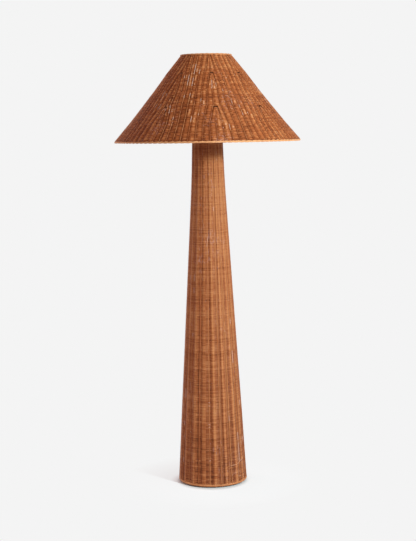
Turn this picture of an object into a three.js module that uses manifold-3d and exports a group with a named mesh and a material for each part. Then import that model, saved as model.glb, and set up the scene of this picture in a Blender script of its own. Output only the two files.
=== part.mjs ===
import * as THREE from "three";
import { mergeVertices } from "three/addons/utils/BufferGeometryUtils.js";
import Module from "manifold-3d";

const wasm = await Module();
wasm.setup();

// Floor lamp with a woven tapered column and a woven cone shade.
// Lengths are millimetres, z is up from the floor, and the front of the lamp is -y.

// Whole lamp
const seat_gap = 0.3; // between pieces that sit on or in each other
const frame_gap = 0.5; // between a woven wall and the wire frame behind it

// Woven column: radius of the ridge crests against height, as shares of the foot radius and the column height
const column_height = 1215;
const column_foot_radius = 118.5;
const column_height_shares = [0, 0.08, 0.2, 0.43, 0.66, 0.78, 0.835, 0.89, 1];
const column_radius_shares = [1, 0.952, 0.882, 0.738, 0.597, 0.523, 0.491, 0.4645, 0.428];
const column_wall = 6;
const column_ridge_depth = 3;
const column_ridges = 18;
const ridge_turn = 5; // degrees from the front to the nearest ridge
const ridge_angle_shares = [0, 0.22, 0.37, 0.5, 0.63, 0.78]; // around one ridge and the stake beside it
const ridge_depth_shares = [0, 0.15, 1, 0.45, 1, 0.15];
const column_inner_sides = 24;

// Rolled borders of the column
const floor_clearance = 3;
const foot_binding_height = 9;
const foot_binding_width = 7;
const foot_binding_sides = 48;
const top_binding_height = 9;
const top_binding_width = 7;
const top_binding_sides = 24;
const border_shares = [
  [-0.5, 0], [-0.25, -0.5], [0.25, -0.5], [0.5, 0], [0.25, 0.5], [-0.25, 0.5],
]; // rounded section, as shares of width and height

// Wire frame inside the column
const column_rib_count = 6;
const column_rib_radius = 2;
const column_rib_steps = 8;
const column_hoop_radius = 2;
const column_hoop_sides = 18;
const column_hoop_shares = [0.34, 0.67]; // heights of the two hoops between foot and top

// Base board, weight, glides and the pipe that ties the lamp together
const board_lift = 8;
const board_thickness = 12;
const board_sides = 36;
const recess_radius = 16;
const recess_depth = 6.5;
const weight_radius = 95;
const weight_height = 26;
const weight_bevel = 3;
const glide_count = 4;
const glide_radius = 12;
const glide_foot_share = 0.85;
const glide_circle_share = 0.76;
const pipe_radius = 5;
const pipe_bore = 3.5;
const pipe_end = 6.5; // height of the pipe's lower end above the floor
const washer_radius = 12;
const washer_thickness = 1.5;
const nut_across = 16;
const nut_height = 5;

// Cord bush low in the back of the column
const bush_height = 46;
const bush_radius = 6.5;
const bush_bore = 4;
const bush_flange_radius = 9.5;
const bush_flange_thickness = 2.5;
const bush_tail = 6; // length left inside the woven wall

// Column top: wooden disc, brass cap and neck
const disc_thickness = 12;
const cap_radius = 24;
const cap_height = 9;
const cap_step_share = 0.18;
const cap_shoulder_shares = [0.6, 0.55];
const neck_radius = 8;
const neck_height = 14;

// Harp saddle, harp and its two locking sleeves
const saddle_half_span = 29;
const saddle_width = 12;
const saddle_thickness = 2;
const saddle_arm = 14;
const tongue_width = 4;
const tongue_thickness = 1.6;
const tongue_height = 10;
const harp_height = 209.6; // from the saddle's foot to the spider that rests on the harp
const harp_wire = 2;
const harp_half_width = 58;
const harp_straight = 26;
const harp_widest_share = 0.5;
const harp_shoulder_share = 2 / 3;
const harp_steps = 30;
const harp_flange_radius = 7;
const harp_flange_height = 4;
const stud_radius = 3;
const sleeve_bore = 3.4;
const sleeve_wall = 1;
const sleeve_length = 13;

// Lamp socket with a turn switch
const socket_cup_radius = 18;
const socket_cup_wall = 1;
const socket_cup_height = 22;
const socket_boss_height = 8.5;
const socket_shoulder_shares = [0.45, 0.66]; // heights of the cup's lower and upper shoulder
const socket_neck_share = 0.72; // radius of the lower shoulder
const socket_overlap = 6; // shell length inside the cup
const socket_shell_wall = 0.8;
const socket_shell_height = 41;
const socket_lip = 0.9;
const socket_lip_height = 3;
const liner_wall = 0.6;
const liner_setback = 2;
const body_height = 16;
const screw_shell_wall = 0.8;
const screw_shell_height = 24;
const screw_floor_bore = 5;
const switch_shaft_radius = 1.8;
const switch_rise = 26.5; // above the foot of the cup
const switch_inner_end = 6;
const switch_shaft_length = 18;
const switch_knob_radius = 5;
const switch_knob_length = 11;
const switch_knob_end_share = 0.8;

// Bulb with a screw cap
const bulb_thread_gap = 0.4;
const bulb_cap_height = 24.5;
const bulb_contact_radius = 4.5;
const bulb_contact_share = 0.25; // straight side of the contact, of its radius
const bulb_radius = 24;
const bulb_length = 66;
const bulb_glass_wall = 0.9;
const bulb_neck_share = 0.53;
const bulb_outline = [
  [0.55, 0.12], [0.66, 0.25], [0.84, 0.38], [0.96, 0.5], [1, 0.62],
  [0.95, 0.76], [0.78, 0.89], [0.5, 0.97],
]; // radius and height shares above the neck

// Woven shade: crests of the stakes, straight from top to bottom radius apart from a slight hollow
const shade_height = 295.5;
const shade_top_radius = 89.5;
const shade_bottom_radius = 316;
const shade_level_shares = [0, 0.2, 0.4, 0.6, 0.8, 1]; // from the top edge down
const shade_hollow_shares = [0, -0.0013, 0.0095, 0.0115, 0.01, 0]; // of the bottom radius
const shade_wall = 4.5;
const shade_relief = 1.4;
const shade_panels = 8;
const shade_turn = 7.2; // degrees from the front to the nearest seam
const stakes_per_panel = 8;
const seam_samples = 4;
const seam_relief_share = 0.5;
const shade_inner_sides = 40;
const shade_top_border = 6;
const shade_top_border_sides = 32;
const shade_foot_border = 7;
const shade_foot_overhang = 1.7;
const shade_foot_border_sides = 64;

// Wire frame of the shade and its spider
const shade_rib_radius = 1.5;
const shade_rib_steps = 5;
const shade_rib_setback = 2;
const shade_hoop_radius = 2;
const shade_top_hoop_drop = 10;
const shade_top_hoop_sides = 24;
const shade_foot_hoop_rise = 13;
const shade_foot_hoop_sides = 40;
const spider_recess = 24;
const spider_hub_radius = 13;
const spider_hub_thickness = 2.5;
const spider_arms = 3;
const spider_arm_radius = 1.8;
const spider_bend_share = 0.66;
const spider_steps = 6;

// Finial on the harp's stud, hidden below the top edge of the shade
const finial_height = 22;
const finial_bore_depth = 9;
const finial_radius = 8.5;
const finial_outline = [
  [1, 0.14], [0.5, 0.27], [0.62, 0.4], [0.95, 0.56], [0.95, 0.74], [0.5, 0.95],
]; // radius and height shares

const wire_half_sides = 3;
const harp_half_sides = 3;
const small_sides = 12;
const socket_sides = 16;
const weight_sides = 24;

// Heights that follow from the sizes above
const board_top = board_lift + board_thickness;
const weave_foot = floor_clearance + foot_binding_height + seat_gap;
const weave_top = column_height - top_binding_height - seat_gap;
const disc_foot = column_height - disc_thickness;
const cap_foot = column_height + seat_gap;
const neck_foot = cap_foot + cap_height + seat_gap;
const saddle_foot = neck_foot + neck_height + seat_gap;
const socket_foot = saddle_foot + saddle_thickness + seat_gap;
const arm_top = saddle_foot + saddle_arm;
const hub_foot = saddle_foot + harp_height;
const hub_top = hub_foot + spider_hub_thickness;
const lamp_height = hub_top + spider_recess;
const finial_foot = hub_top + seat_gap;
const shade_foot = lamp_height - shade_height;
const shade_weave_foot = shade_foot + shade_foot_border + seat_gap;
const shade_weave_top = lamp_height - shade_top_border - seat_gap;
const shade_weave_height = shade_weave_top - shade_weave_foot;
const shade_slant = Math.hypot(shade_weave_height, shade_bottom_radius - shade_top_radius) / shade_weave_height;
const bore_radius = pipe_radius + seat_gap;

const rattan = material(0x8a5233, 0.6, 0);
const rattan_light = material(0xb27a4c, 0.55, 0);
const plywood = material(0xc49a6c, 0.75, 0);
const dark_wood = material(0x4a2c1c, 0.6, 0);
const wire = material(0x3a3735, 0.5, 0.8);
const iron = material(0x2b2b2d, 0.7, 0.6);
const steel = material(0xb9bbbd, 0.35, 1);
const brass = material(0xb5903f, 0.3, 1);
const rubber = material(0x1d1d1f, 0.85, 0);
const phenolic = material(0x211a17, 0.5, 0);
const card = material(0x9b7a55, 0.9, 0);
const cap_metal = material(0xc9cacb, 0.35, 1);
const opal = material(0xf3f0e6, 0.3, 0);

function material(color, roughness, metalness) {
  return new THREE.MeshStandardMaterial({ color, roughness, metalness });
}

// Value read off a broken line of shares.
function on_line(xs, ys, x) {
  let i = 1;
  while (i < xs.length - 1 && x > xs[i]) i++;
  const t = (x - xs[i - 1]) / (xs[i] - xs[i - 1]);
  return ys[i - 1] + t * (ys[i] - ys[i - 1]);
}

function column_radius(z) {
  return column_foot_radius * on_line(column_height_shares, column_radius_shares, z / column_height);
}

function shade_radius(z) {
  const t = (shade_weave_top - z) / shade_weave_height;
  const straight = shade_top_radius + (shade_bottom_radius - shade_top_radius) * t;
  return straight - shade_bottom_radius * on_line(shade_level_shares, shade_hollow_shares, t);
}

// Closed solid of a geometry, for joining and cutting.
function solid(geometry) {
  const bare = geometry.clone();
  bare.deleteAttribute("normal");
  bare.deleteAttribute("uv");
  const merged = mergeVertices(bare);
  const corners = merged.index.array;
  const kept = [];
  for (let i = 0; i < corners.length; i += 3) {
    const [a, b, c] = [corners[i], corners[i + 1], corners[i + 2]];
    if (a !== b && b !== c && c !== a) kept.push(a, b, c);
  }
  const vertProperties = merged.attributes.position.array;
  return new wasm.Manifold(new wasm.Mesh({ numProp: 3, vertProperties, triVerts: new Uint32Array(kept) }));
}

function geometry_of(made) {
  const mesh = made.getMesh();
  const geometry = new THREE.BufferGeometry();
  geometry.setAttribute("position", new THREE.BufferAttribute(mesh.vertProperties, 3));
  geometry.setIndex(new THREE.BufferAttribute(mesh.triVerts, 1));
  geometry.computeVertexNormals();
  return geometry;
}

function piece(name, made, look) {
  const geometry = made.isBufferGeometry ? made : geometry_of(made);
  const mesh = new THREE.Mesh(geometry, look);
  mesh.name = name;
  lamp.add(mesh);
}

// Profile of radius and height turned about the z axis.
function turned(profile, sides, turn = 0) {
  const points = profile.map(([r, z]) => new THREE.Vector2(r, z));
  return new THREE.LatheGeometry(points, sides).rotateX(Math.PI / 2).rotateZ(turn);
}

// A turned profile whose corners are set anew: place gives each sample's angle and radius.
function moulded(profile, sides, place) {
  const points = profile.map(([r, z]) => new THREE.Vector2(r, z));
  const geometry = new THREE.LatheGeometry(points, sides);
  const corner = geometry.attributes.position;
  for (let i = 0; i <= sides; i++) {
    profile.forEach(([r, z], j) => {
      const [angle, radius] = r === 0 ? [0, 0] : place(i % sides, r);
      corner.setXYZ(i * profile.length + j, radius * Math.cos(angle), radius * Math.sin(angle), z);
    });
  }
  return geometry;
}

function closed(profile) {
  return [...profile, profile[0]];
}

// Flat ring or tube standing on the height foot.
function collar(inner, outer, foot, height, sides) {
  const top = foot + height;
  return turned(closed([[inner, foot], [outer, foot], [outer, top], [inner, top]]), sides);
}

function hoop(radius, height, wire_radius, sides, turn = 0) {
  const profile = [];
  const corners = wire_half_sides * 2;
  for (let i = 0; i <= corners; i++) {
    const a = ((i % corners) / corners) * Math.PI * 2;
    profile.push([radius + wire_radius * Math.cos(a), height + wire_radius * Math.sin(a)]);
  }
  return turned(profile, sides, turn);
}

function border(outer, foot, width, height, sides, turn = 0) {
  const centre = [outer - width / 2, foot + height / 2];
  const profile = border_shares.map(([w, h]) => [centre[0] + w * width, centre[1] + h * height]);
  return turned(closed(profile), sides, turn);
}

function rod(path, radius, steps, half_sides) {
  const section = new THREE.Shape().absarc(0, 0, radius, 0, Math.PI * 2, false);
  const options = { steps, curveSegments: half_sides, bevelEnabled: false, extrudePath: path };
  return new THREE.ExtrudeGeometry(section, options);
}

function hexagon_nut(foot) {
  const corner = nut_across / Math.sqrt(3);
  const corners = [];
  for (let i = 0; i < 6; i++) {
    const a = (i / 6) * Math.PI * 2;
    corners.push(new THREE.Vector2(corner * Math.cos(a), corner * Math.sin(a)));
  }
  const shape = new THREE.Shape(corners);
  shape.holes.push(new THREE.Path().absarc(0, 0, bore_radius, 0, Math.PI * 2, true));
  const options = { depth: nut_height, curveSegments: small_sides / 2, bevelEnabled: false };
  return new THREE.ExtrudeGeometry(shape, options).translate(0, 0, foot);
}

function degrees(angle) {
  return (angle * Math.PI) / 180;
}

// Line that climbs at one angle around the axis, at the radius given for each height.
class Upright extends THREE.Curve {
  constructor(radius_at, low, high, angle) {
    super();
    Object.assign(this, { radius_at, low, high, angle });
  }

  getPoint(t, target = new THREE.Vector3()) {
    const z = this.low + (this.high - this.low) * t;
    const r = this.radius_at(z);
    return target.set(r * Math.cos(this.angle), r * Math.sin(this.angle), z);
  }
}

const lamp = new THREE.Group();
lamp.name = "rattan_floor_lamp";

const front = -Math.PI / 2;

function column_rows() {
  const between = column_height_shares.slice(1, -1).map((share) => share * column_height);
  return [weave_foot, ...between, weave_top];
}

// Profile of the space inside a woven wall, run past both of its open ends.
function hollow_profile(outline, wall) {
  const inside = outline.map(([r, z]) => [r - wall, z]);
  const [first, last] = [inside[0], inside[inside.length - 1]];
  const low = first[1] - wall;
  const high = last[1] + wall;
  return [[0, low], [first[0], low], ...inside, [last[0], high], [0, high]];
}

// The column's skin: ridges where the weavers pass outside a stake, valleys that show the stake between them.
function column_weave() {
  const samples = ridge_angle_shares.length;
  const pitch = (Math.PI * 2) / column_ridges;
  const rows = column_rows();
  const outline = rows.map((z) => [column_radius(z), z]);
  const skin = [[0, weave_foot], ...outline, [0, weave_top]];
  const outer = moulded(skin, column_ridges * samples, (i, r) => {
    const share = Math.floor(i / samples) + ridge_angle_shares[i % samples];
    const depth = column_ridge_depth * ridge_depth_shares[i % samples];
    return [front + degrees(ridge_turn) + share * pitch, r - depth];
  });
  const hollow = turned(hollow_profile(outline, column_wall), column_inner_sides);
  return solid(outer).subtract(solid(hollow)).subtract(cord_hole(bush_radius + seat_gap));
}

// Cylinder from the column's axis out through the back, at the cord bush.
function cord_hole(radius) {
  const reach = column_foot_radius + column_wall;
  const profile = [[0, 0], [radius, 0], [radius, reach], [0, reach]];
  const geometry = turned(profile, small_sides).rotateX(front);
  return solid(geometry.translate(0, 0, bush_height));
}

function column_skin() {
  piece("column_weave", column_weave(), rattan);
  const foot = border(
    column_foot_radius, floor_clearance, foot_binding_width, foot_binding_height, foot_binding_sides,
  );
  piece("column_foot_binding", foot, rattan_light);
  const rim = column_radius(column_height);
  const top = border(
    rim, column_height - top_binding_height, top_binding_width, top_binding_height, top_binding_sides,
  );
  piece("column_top_binding", top, rattan_light);
}

function rib_radius_at(z) {
  return column_radius(z) - column_wall - frame_gap - column_rib_radius;
}

function column_frame() {
  const low = board_top + seat_gap * 2;
  const high = disc_foot - seat_gap * 2;
  for (let i = 0; i < column_rib_count; i++) {
    const path = new Upright(rib_radius_at, low, high, (i / column_rib_count) * Math.PI * 2);
    const made = rod(path, column_rib_radius, column_rib_steps, wire_half_sides);
    piece("column_rib_" + (i + 1), made, wire);
  }
  const lift = seat_gap + column_hoop_radius;
  const between = column_hoop_shares.map((share) => share * column_height);
  const heights = [board_top + lift, ...between, disc_foot - lift];
  const inset = column_rib_radius + seat_gap + column_hoop_radius;
  const turn = Math.PI / column_hoop_sides;
  heights.forEach((z, i) => {
    const made = hoop(rib_radius_at(z) - inset, z, column_hoop_radius, column_hoop_sides, turn);
    piece("column_hoop_" + (i + 1), made, wire);
  });
}

function inner_flat(z) {
  return (column_radius(z) - column_wall) * Math.cos(Math.PI / column_inner_sides);
}

function base() {
  const radius = inner_flat(board_top) - seat_gap;
  const recess_top = board_lift + recess_depth;
  const profile = [
    [bore_radius, recess_top], [recess_radius, recess_top], [recess_radius, board_lift],
    [radius, board_lift], [radius, board_top], [bore_radius, board_top],
  ];
  piece("base_board", turned(closed(profile), board_sides), plywood);

  const foot = board_top + seat_gap;
  const top = foot + weight_height;
  const disc = [
    [bore_radius, foot], [weight_radius, foot], [weight_radius, top - weight_bevel],
    [weight_radius - weight_bevel, top], [bore_radius, top],
  ];
  piece("base_weight", turned(closed(disc), weight_sides), iron);
  piece("weight_nut", hexagon_nut(top + seat_gap), steel);

  const washer_foot = recess_top - seat_gap - washer_thickness;
  const washer = collar(bore_radius, washer_radius, washer_foot, washer_thickness, small_sides);
  piece("base_washer", washer, steel);
  piece("base_nut", hexagon_nut(washer_foot - seat_gap - nut_height), steel);

  const height = board_lift - seat_gap;
  for (let i = 0; i < glide_count; i++) {
    const around = ((i + 1 / 2) / glide_count) * Math.PI * 2;
    const out = radius * glide_circle_share;
    const shape = [[0, 0], [glide_radius * glide_foot_share, 0], [glide_radius, height], [0, height]];
    const made = turned(shape, small_sides).translate(out * Math.cos(around), out * Math.sin(around), 0);
    piece("glide_" + (i + 1), made, rubber);
  }
}

function cord_bush() {
  const face = column_radius(bush_height - bush_flange_radius) + seat_gap;
  const start = inner_flat(bush_height) - bush_tail;
  const end = face + bush_flange_thickness;
  const profile = [
    [bush_bore, start], [bush_radius, start], [bush_radius, face],
    [bush_flange_radius, face], [bush_flange_radius, end], [bush_bore, end],
  ];
  const made = turned(closed(profile), small_sides).rotateX(front);
  piece("cord_bush", made.translate(0, 0, bush_height), rubber);
}

function pipe_and_top() {
  const pipe_top = socket_foot + socket_boss_height - seat_gap;
  const pipe = collar(pipe_bore, pipe_radius, pipe_end, pipe_top - pipe_end, small_sides);
  piece("lamp_pipe", pipe, steel);

  const opening = column_radius(column_height) - top_binding_width;
  const radius = opening * Math.cos(Math.PI / top_binding_sides) - seat_gap;
  const disc = collar(bore_radius, radius, disc_foot, disc_thickness, weight_sides);
  piece("top_disc", disc, dark_wood);
  const washer_foot = disc_foot - seat_gap - washer_thickness;
  const washer = collar(bore_radius, washer_radius, washer_foot, washer_thickness, small_sides);
  piece("top_washer", washer, steel);
  piece("top_nut", hexagon_nut(washer_foot - seat_gap - nut_height), steel);

  const cap_top = cap_foot + cap_height;
  const [out, up] = cap_shoulder_shares;
  const cap = [
    [bore_radius, cap_foot], [cap_radius, cap_foot], [cap_radius, cap_foot + cap_height * cap_step_share],
    [cap_radius * out, cap_foot + cap_height * up], [neck_radius, cap_top], [bore_radius, cap_top],
  ];
  piece("top_cap", turned(closed(cap), socket_sides), brass);
  piece("neck", collar(bore_radius, neck_radius, neck_foot, neck_height, small_sides), brass);
}

function block(size, centre) {
  return solid(new THREE.BoxGeometry(...size).translate(...centre));
}

function saddle() {
  const a = saddle_half_span;
  const t = saddle_thickness;
  const outline = [
    [-a, 0], [a, 0], [a, saddle_arm], [a - t, saddle_arm], [a - t, t],
    [t - a, t], [t - a, saddle_arm], [-a, saddle_arm],
  ];
  const shape = new THREE.Shape(outline.map(([x, z]) => new THREE.Vector2(x, z)));
  const strip = new THREE.ExtrudeGeometry(shape, { depth: saddle_width, bevelEnabled: false });
  strip.translate(0, 0, -saddle_width / 2).rotateX(Math.PI / 2).translate(0, 0, saddle_foot);
  let made = solid(strip);
  for (const side of [-1, 1]) {
    const height = tongue_height + t;
    const x = side * (a - t + tongue_thickness / 2);
    made = made.add(block([tongue_thickness, tongue_width, height], [x, 0, arm_top - t + height / 2]));
  }
  const profile = [[0, saddle_foot - t], [bore_radius, saddle_foot - t], [bore_radius, arm_top], [0, arm_top]];
  piece("harp_saddle", made.subtract(solid(turned(profile, small_sides))), brass);
}

// Distance of a harp leg from the lamp's axis: its flat lies against the saddle's tongue.
const leg_flat = saddle_half_span - saddle_thickness + tongue_thickness + seat_gap;
const leg_x = leg_flat + seat_gap;

function harp() {
  const foot = arm_top + seat_gap;
  const straight = foot + harp_straight;
  const crown = hub_foot - seat_gap - harp_flange_height + harp_wire;
  const widest = straight + (crown - straight) * harp_widest_share;
  const v = (x, z) => new THREE.Vector3(x, 0, z);
  const path = new THREE.CurvePath();
  const swell = (widest - straight) / 2;
  const shoulder = (crown - widest) * harp_shoulder_share;
  const inward = harp_half_width / 2;
  path.add(new THREE.LineCurve3(v(-leg_x, foot), v(-leg_x, straight)));
  path.add(new THREE.CubicBezierCurve3(
    v(-leg_x, straight), v(-leg_x, straight + swell), v(-harp_half_width, widest - swell), v(-harp_half_width, widest),
  ));
  path.add(new THREE.CubicBezierCurve3(
    v(-harp_half_width, widest), v(-harp_half_width, widest + shoulder), v(-inward, crown), v(0, crown),
  ));
  path.add(new THREE.CubicBezierCurve3(
    v(0, crown), v(inward, crown), v(harp_half_width, widest + shoulder), v(harp_half_width, widest),
  ));
  path.add(new THREE.CubicBezierCurve3(
    v(harp_half_width, widest), v(harp_half_width, widest - swell), v(leg_x, straight + swell), v(leg_x, straight),
  ));
  path.add(new THREE.LineCurve3(v(leg_x, straight), v(leg_x, foot)));
  let made = solid(rod(path, harp_wire, harp_steps, harp_half_sides));

  const cut_height = tongue_height + harp_wire;
  const cut_z = foot + tongue_height - cut_height / 2;
  for (const side of [-1, 1]) {
    const x = side * (leg_flat - harp_wire * 2);
    made = made.subtract(block([harp_wire * 4, harp_wire * 4, cut_height], [x, 0, cut_z]));
  }
  const seat = hub_foot - seat_gap;
  const stud_top = finial_foot + finial_bore_depth - seat_gap;
  const stud = [
    [0, crown], [harp_flange_radius, crown], [harp_flange_radius, seat],
    [stud_radius, seat], [stud_radius, stud_top], [0, stud_top],
  ];
  piece("harp", made.add(solid(turned(stud, small_sides))), brass);

  const names = ["sleeve_left", "sleeve_right"];
  [-1, 1].forEach((side, i) => {
    const sleeve = collar(sleeve_bore, sleeve_bore + sleeve_wall, foot, sleeve_length, small_sides);
    piece(names[i], sleeve.translate(side * leg_x, 0, 0), brass);
  });
}

// Cylinder from the socket's axis out through the front, for the switch shaft.
function switch_hole() {
  const radius = switch_shaft_radius + seat_gap;
  const profile = [[0, 0], [radius, 0], [radius, saddle_half_span], [0, saddle_half_span]];
  const geometry = turned(profile, small_sides).rotateX(Math.PI / 2);
  return solid(geometry.translate(0, 0, socket_foot + switch_rise));
}

function socket() {
  const r = socket_cup_radius;
  const w = socket_cup_wall;
  const [low, high] = socket_shoulder_shares.map((share) => socket_foot + share * socket_cup_height);
  const top = socket_foot + socket_cup_height;
  const boss_top = socket_foot + socket_boss_height;
  const cup = [
    [bore_radius, socket_foot], [neck_radius, socket_foot], [neck_radius, boss_top - w],
    [r * socket_neck_share, low], [r, high], [r, top], [r - w, top], [r - w, high + w],
    [r * socket_neck_share - w, low + w], [neck_radius, boss_top], [bore_radius, boss_top],
  ];
  piece("socket_cup", turned(closed(cup), socket_sides), brass);

  const shell_foot = top - socket_overlap;
  const shell_top = shell_foot + socket_shell_height;
  const shell = r - w - seat_gap;
  const inner = shell - socket_shell_wall;
  const lip = shell_top - socket_lip_height;
  const outline = [
    [inner, shell_foot], [shell, shell_foot], [shell, lip], [shell + socket_lip, lip + socket_lip],
    [shell + socket_lip, shell_top], [inner, shell_top],
  ];
  const hole = switch_hole();
  piece("socket_shell", solid(turned(closed(outline), socket_sides)).subtract(hole), brass);

  const liner = inner - seat_gap;
  const liner_inner = liner - liner_wall;
  const tube = collar(liner_inner, liner, shell_foot, socket_shell_height - liner_setback, socket_sides);
  piece("socket_liner", solid(tube).subtract(hole), card);

  const body = liner_inner - seat_gap;
  const body_foot = shell_foot;
  const body_top = body_foot + body_height;
  const core = turned([[0, body_foot], [body, body_foot], [body, body_top], [0, body_top]], socket_sides);
  piece("socket_body", solid(core).subtract(hole), phenolic);

  const screw_foot = body_top + seat_gap;
  const floor = screw_foot + screw_shell_wall;
  const screw_inner = body - screw_shell_wall;
  const screw_top = screw_foot + screw_shell_height;
  const screw = [
    [screw_floor_bore, screw_foot], [body, screw_foot], [body, screw_top], [screw_inner, screw_top],
    [screw_inner, floor], [screw_floor_bore, floor],
  ];
  piece("socket_screw_shell", turned(closed(screw), socket_sides), brass);
  switch_knob();
  bulb(screw_inner - bulb_thread_gap, floor + seat_gap);
}

function switch_knob() {
  const shaft_end = switch_inner_end + switch_shaft_length;
  const tip = shaft_end + switch_knob_length;
  const profile = [
    [0, switch_inner_end], [switch_shaft_radius, switch_inner_end], [switch_shaft_radius, shaft_end],
    [switch_knob_radius, shaft_end], [switch_knob_radius * switch_knob_end_share, tip], [0, tip],
  ];
  const made = turned(profile, small_sides).rotateX(Math.PI / 2);
  piece("switch_knob", made.translate(0, 0, socket_foot + switch_rise), phenolic);
}

function bulb(radius, foot) {
  const top = foot + bulb_cap_height;
  const contact = foot + bulb_contact_radius * bulb_contact_share;
  const skirt = foot + bulb_contact_radius;
  const cap = [
    [0, foot], [bulb_contact_radius, foot], [bulb_contact_radius, contact],
    [radius, skirt], [radius, top], [0, top],
  ];
  piece("bulb_cap", turned(cap, socket_sides), cap_metal);

  const glass_foot = top + seat_gap;
  const neck = bulb_radius * bulb_neck_share;
  const outer = bulb_outline.map(([r, h]) => [r * bulb_radius, glass_foot + h * bulb_length]);
  const inner = outer.map(([r, z]) => [r - bulb_glass_wall, z]).reverse();
  const crown = glass_foot + bulb_length;
  const profile = [
    [neck, glass_foot], ...outer, [0, crown], [0, crown - bulb_glass_wall], ...inner,
    [neck - bulb_glass_wall, glass_foot],
  ];
  piece("bulb_glass", turned(closed(profile), socket_sides), opal);
}

// The shade's skin: groups of stakes that run from edge to edge, with a plain fan at each seam between them.
function shade_weave() {
  const crests = stakes_per_panel * 2 - 1;
  const samples = crests + seam_samples;
  const panel = (Math.PI * 2) / shade_panels;
  const pitch = (shade_top_radius * panel) / stakes_per_panel;
  const group = pitch * (stakes_per_panel - 1);
  const heights = shade_level_shares.map((share) => shade_weave_top - share * shade_weave_height).reverse();
  const outline = heights.map((z) => [shade_radius(z), z]);
  const skin = [[0, shade_weave_foot], ...outline, [0, shade_weave_top]];
  const outer = moulded(skin, shade_panels * samples, (i, r) => {
    const k = i % samples;
    const start = front + degrees(shade_turn) + Math.floor(i / samples) * panel + (panel - group / r) / 2;
    if (k < crests) return [start + (k * pitch) / 2 / r, r - shade_relief * (k % 2)];
    const fan = (panel - group / r) * ((k - crests + 1) / (seam_samples + 1));
    return [start + group / r + fan, r - shade_relief * seam_relief_share];
  });
  const hollow = turned(hollow_profile(outline, shade_wall), shade_inner_sides, degrees(shade_turn));
  return solid(outer).subtract(solid(hollow));
}

function shade_skin() {
  piece("shade_weave", shade_weave(), rattan);
  const top = border(
    shade_top_radius, lamp_height - shade_top_border, shade_top_border, shade_top_border, shade_top_border_sides,
  );
  piece("shade_top_binding", top, rattan_light);
  const edge = shade_bottom_radius + shade_foot_overhang;
  const foot = border(edge, shade_foot, shade_foot_border, shade_foot_border, shade_foot_border_sides);
  piece("shade_foot_binding", foot, rattan_light);
}

function shade_rib_radius_at(z) {
  return shade_radius(z) - shade_wall - (frame_gap + shade_rib_radius) * shade_slant;
}

const top_hoop_z = lamp_height - shade_top_hoop_drop;
const hoop_inset = (shade_rib_radius + seat_gap + shade_hoop_radius) * shade_slant;
const top_hoop_radius = shade_rib_radius_at(top_hoop_z) - hoop_inset;

function shade_frame() {
  const turn = degrees(shade_turn);
  const low = shade_weave_foot + shade_rib_setback;
  const high = shade_weave_top - shade_rib_setback;
  for (let i = 0; i < shade_panels; i++) {
    const angle = front + turn + (i / shade_panels) * Math.PI * 2;
    const path = new Upright(shade_rib_radius_at, low, high, angle);
    piece("shade_rib_" + (i + 1), rod(path, shade_rib_radius, shade_rib_steps, wire_half_sides), wire);
  }
  const top = hoop(top_hoop_radius, top_hoop_z, shade_hoop_radius, shade_top_hoop_sides, turn);
  piece("shade_top_hoop", top, wire);
  const z = shade_foot + shade_foot_hoop_rise;
  const foot = hoop(shade_rib_radius_at(z) - hoop_inset, z, shade_hoop_radius, shade_foot_hoop_sides, turn);
  piece("shade_foot_hoop", foot, wire);
}

function spider() {
  const bore = stud_radius + seat_gap;
  const middle = hub_foot + spider_hub_thickness / 2;
  let made = solid(collar(bore, spider_hub_radius, hub_foot, spider_hub_thickness, small_sides));
  const flat = Math.cos(Math.PI / shade_top_hoop_sides);
  const end = (top_hoop_radius - shade_hoop_radius) * flat - seat_gap;
  const start = spider_hub_radius - spider_arm_radius;
  for (let i = 0; i < spider_arms; i++) {
    const angle = front + (i / spider_arms) * Math.PI * 2;
    const at = (r, z) => new THREE.Vector3(r * Math.cos(angle), r * Math.sin(angle), z);
    const bend = end * spider_bend_share;
    const path = new THREE.CubicBezierCurve3(at(start, middle), at(bend, middle), at(bend, top_hoop_z), at(end, top_hoop_z));
    made = made.add(solid(rod(path, spider_arm_radius, spider_steps, wire_half_sides)));
  }
  piece("spider", made, wire);
}

function finial() {
  const bore = stud_radius + seat_gap;
  const roof = finial_foot + finial_bore_depth;
  const outline = finial_outline.map(([r, h]) => [r * finial_radius, finial_foot + h * finial_height]);
  const profile = [
    [0, roof], [bore, roof], [bore, finial_foot], [finial_radius, finial_foot],
    ...outline, [0, finial_foot + finial_height],
  ];
  piece("finial", turned(profile, small_sides), brass);
}

column_skin();
column_frame();
base();
cord_bush();
pipe_and_top();
saddle();
harp();
socket();
shade_skin();
shade_frame();
spider();
finial();

export default lamp;
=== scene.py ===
import bpy
import math
import random
import numpy as np
from mathutils import Matrix, Vector


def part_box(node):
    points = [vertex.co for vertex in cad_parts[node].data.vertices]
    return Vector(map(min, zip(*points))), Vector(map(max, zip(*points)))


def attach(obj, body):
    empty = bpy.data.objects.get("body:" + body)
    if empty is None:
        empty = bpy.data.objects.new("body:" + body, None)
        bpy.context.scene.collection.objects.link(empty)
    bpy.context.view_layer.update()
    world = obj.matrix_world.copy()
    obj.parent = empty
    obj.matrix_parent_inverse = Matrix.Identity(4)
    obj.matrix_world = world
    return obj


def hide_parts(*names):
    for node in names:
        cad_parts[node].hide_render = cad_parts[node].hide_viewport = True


# Floor lamp woven from rattan, in metres. The front is -y and z is up from the floor.

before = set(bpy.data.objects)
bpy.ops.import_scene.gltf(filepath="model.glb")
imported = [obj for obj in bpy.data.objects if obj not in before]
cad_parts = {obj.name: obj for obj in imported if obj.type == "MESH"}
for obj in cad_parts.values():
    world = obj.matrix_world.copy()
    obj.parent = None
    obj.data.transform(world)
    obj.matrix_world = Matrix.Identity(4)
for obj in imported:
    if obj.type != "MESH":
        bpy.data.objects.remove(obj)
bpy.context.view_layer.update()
bpy.ops.object.select_all(action="DESELECT")

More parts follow.
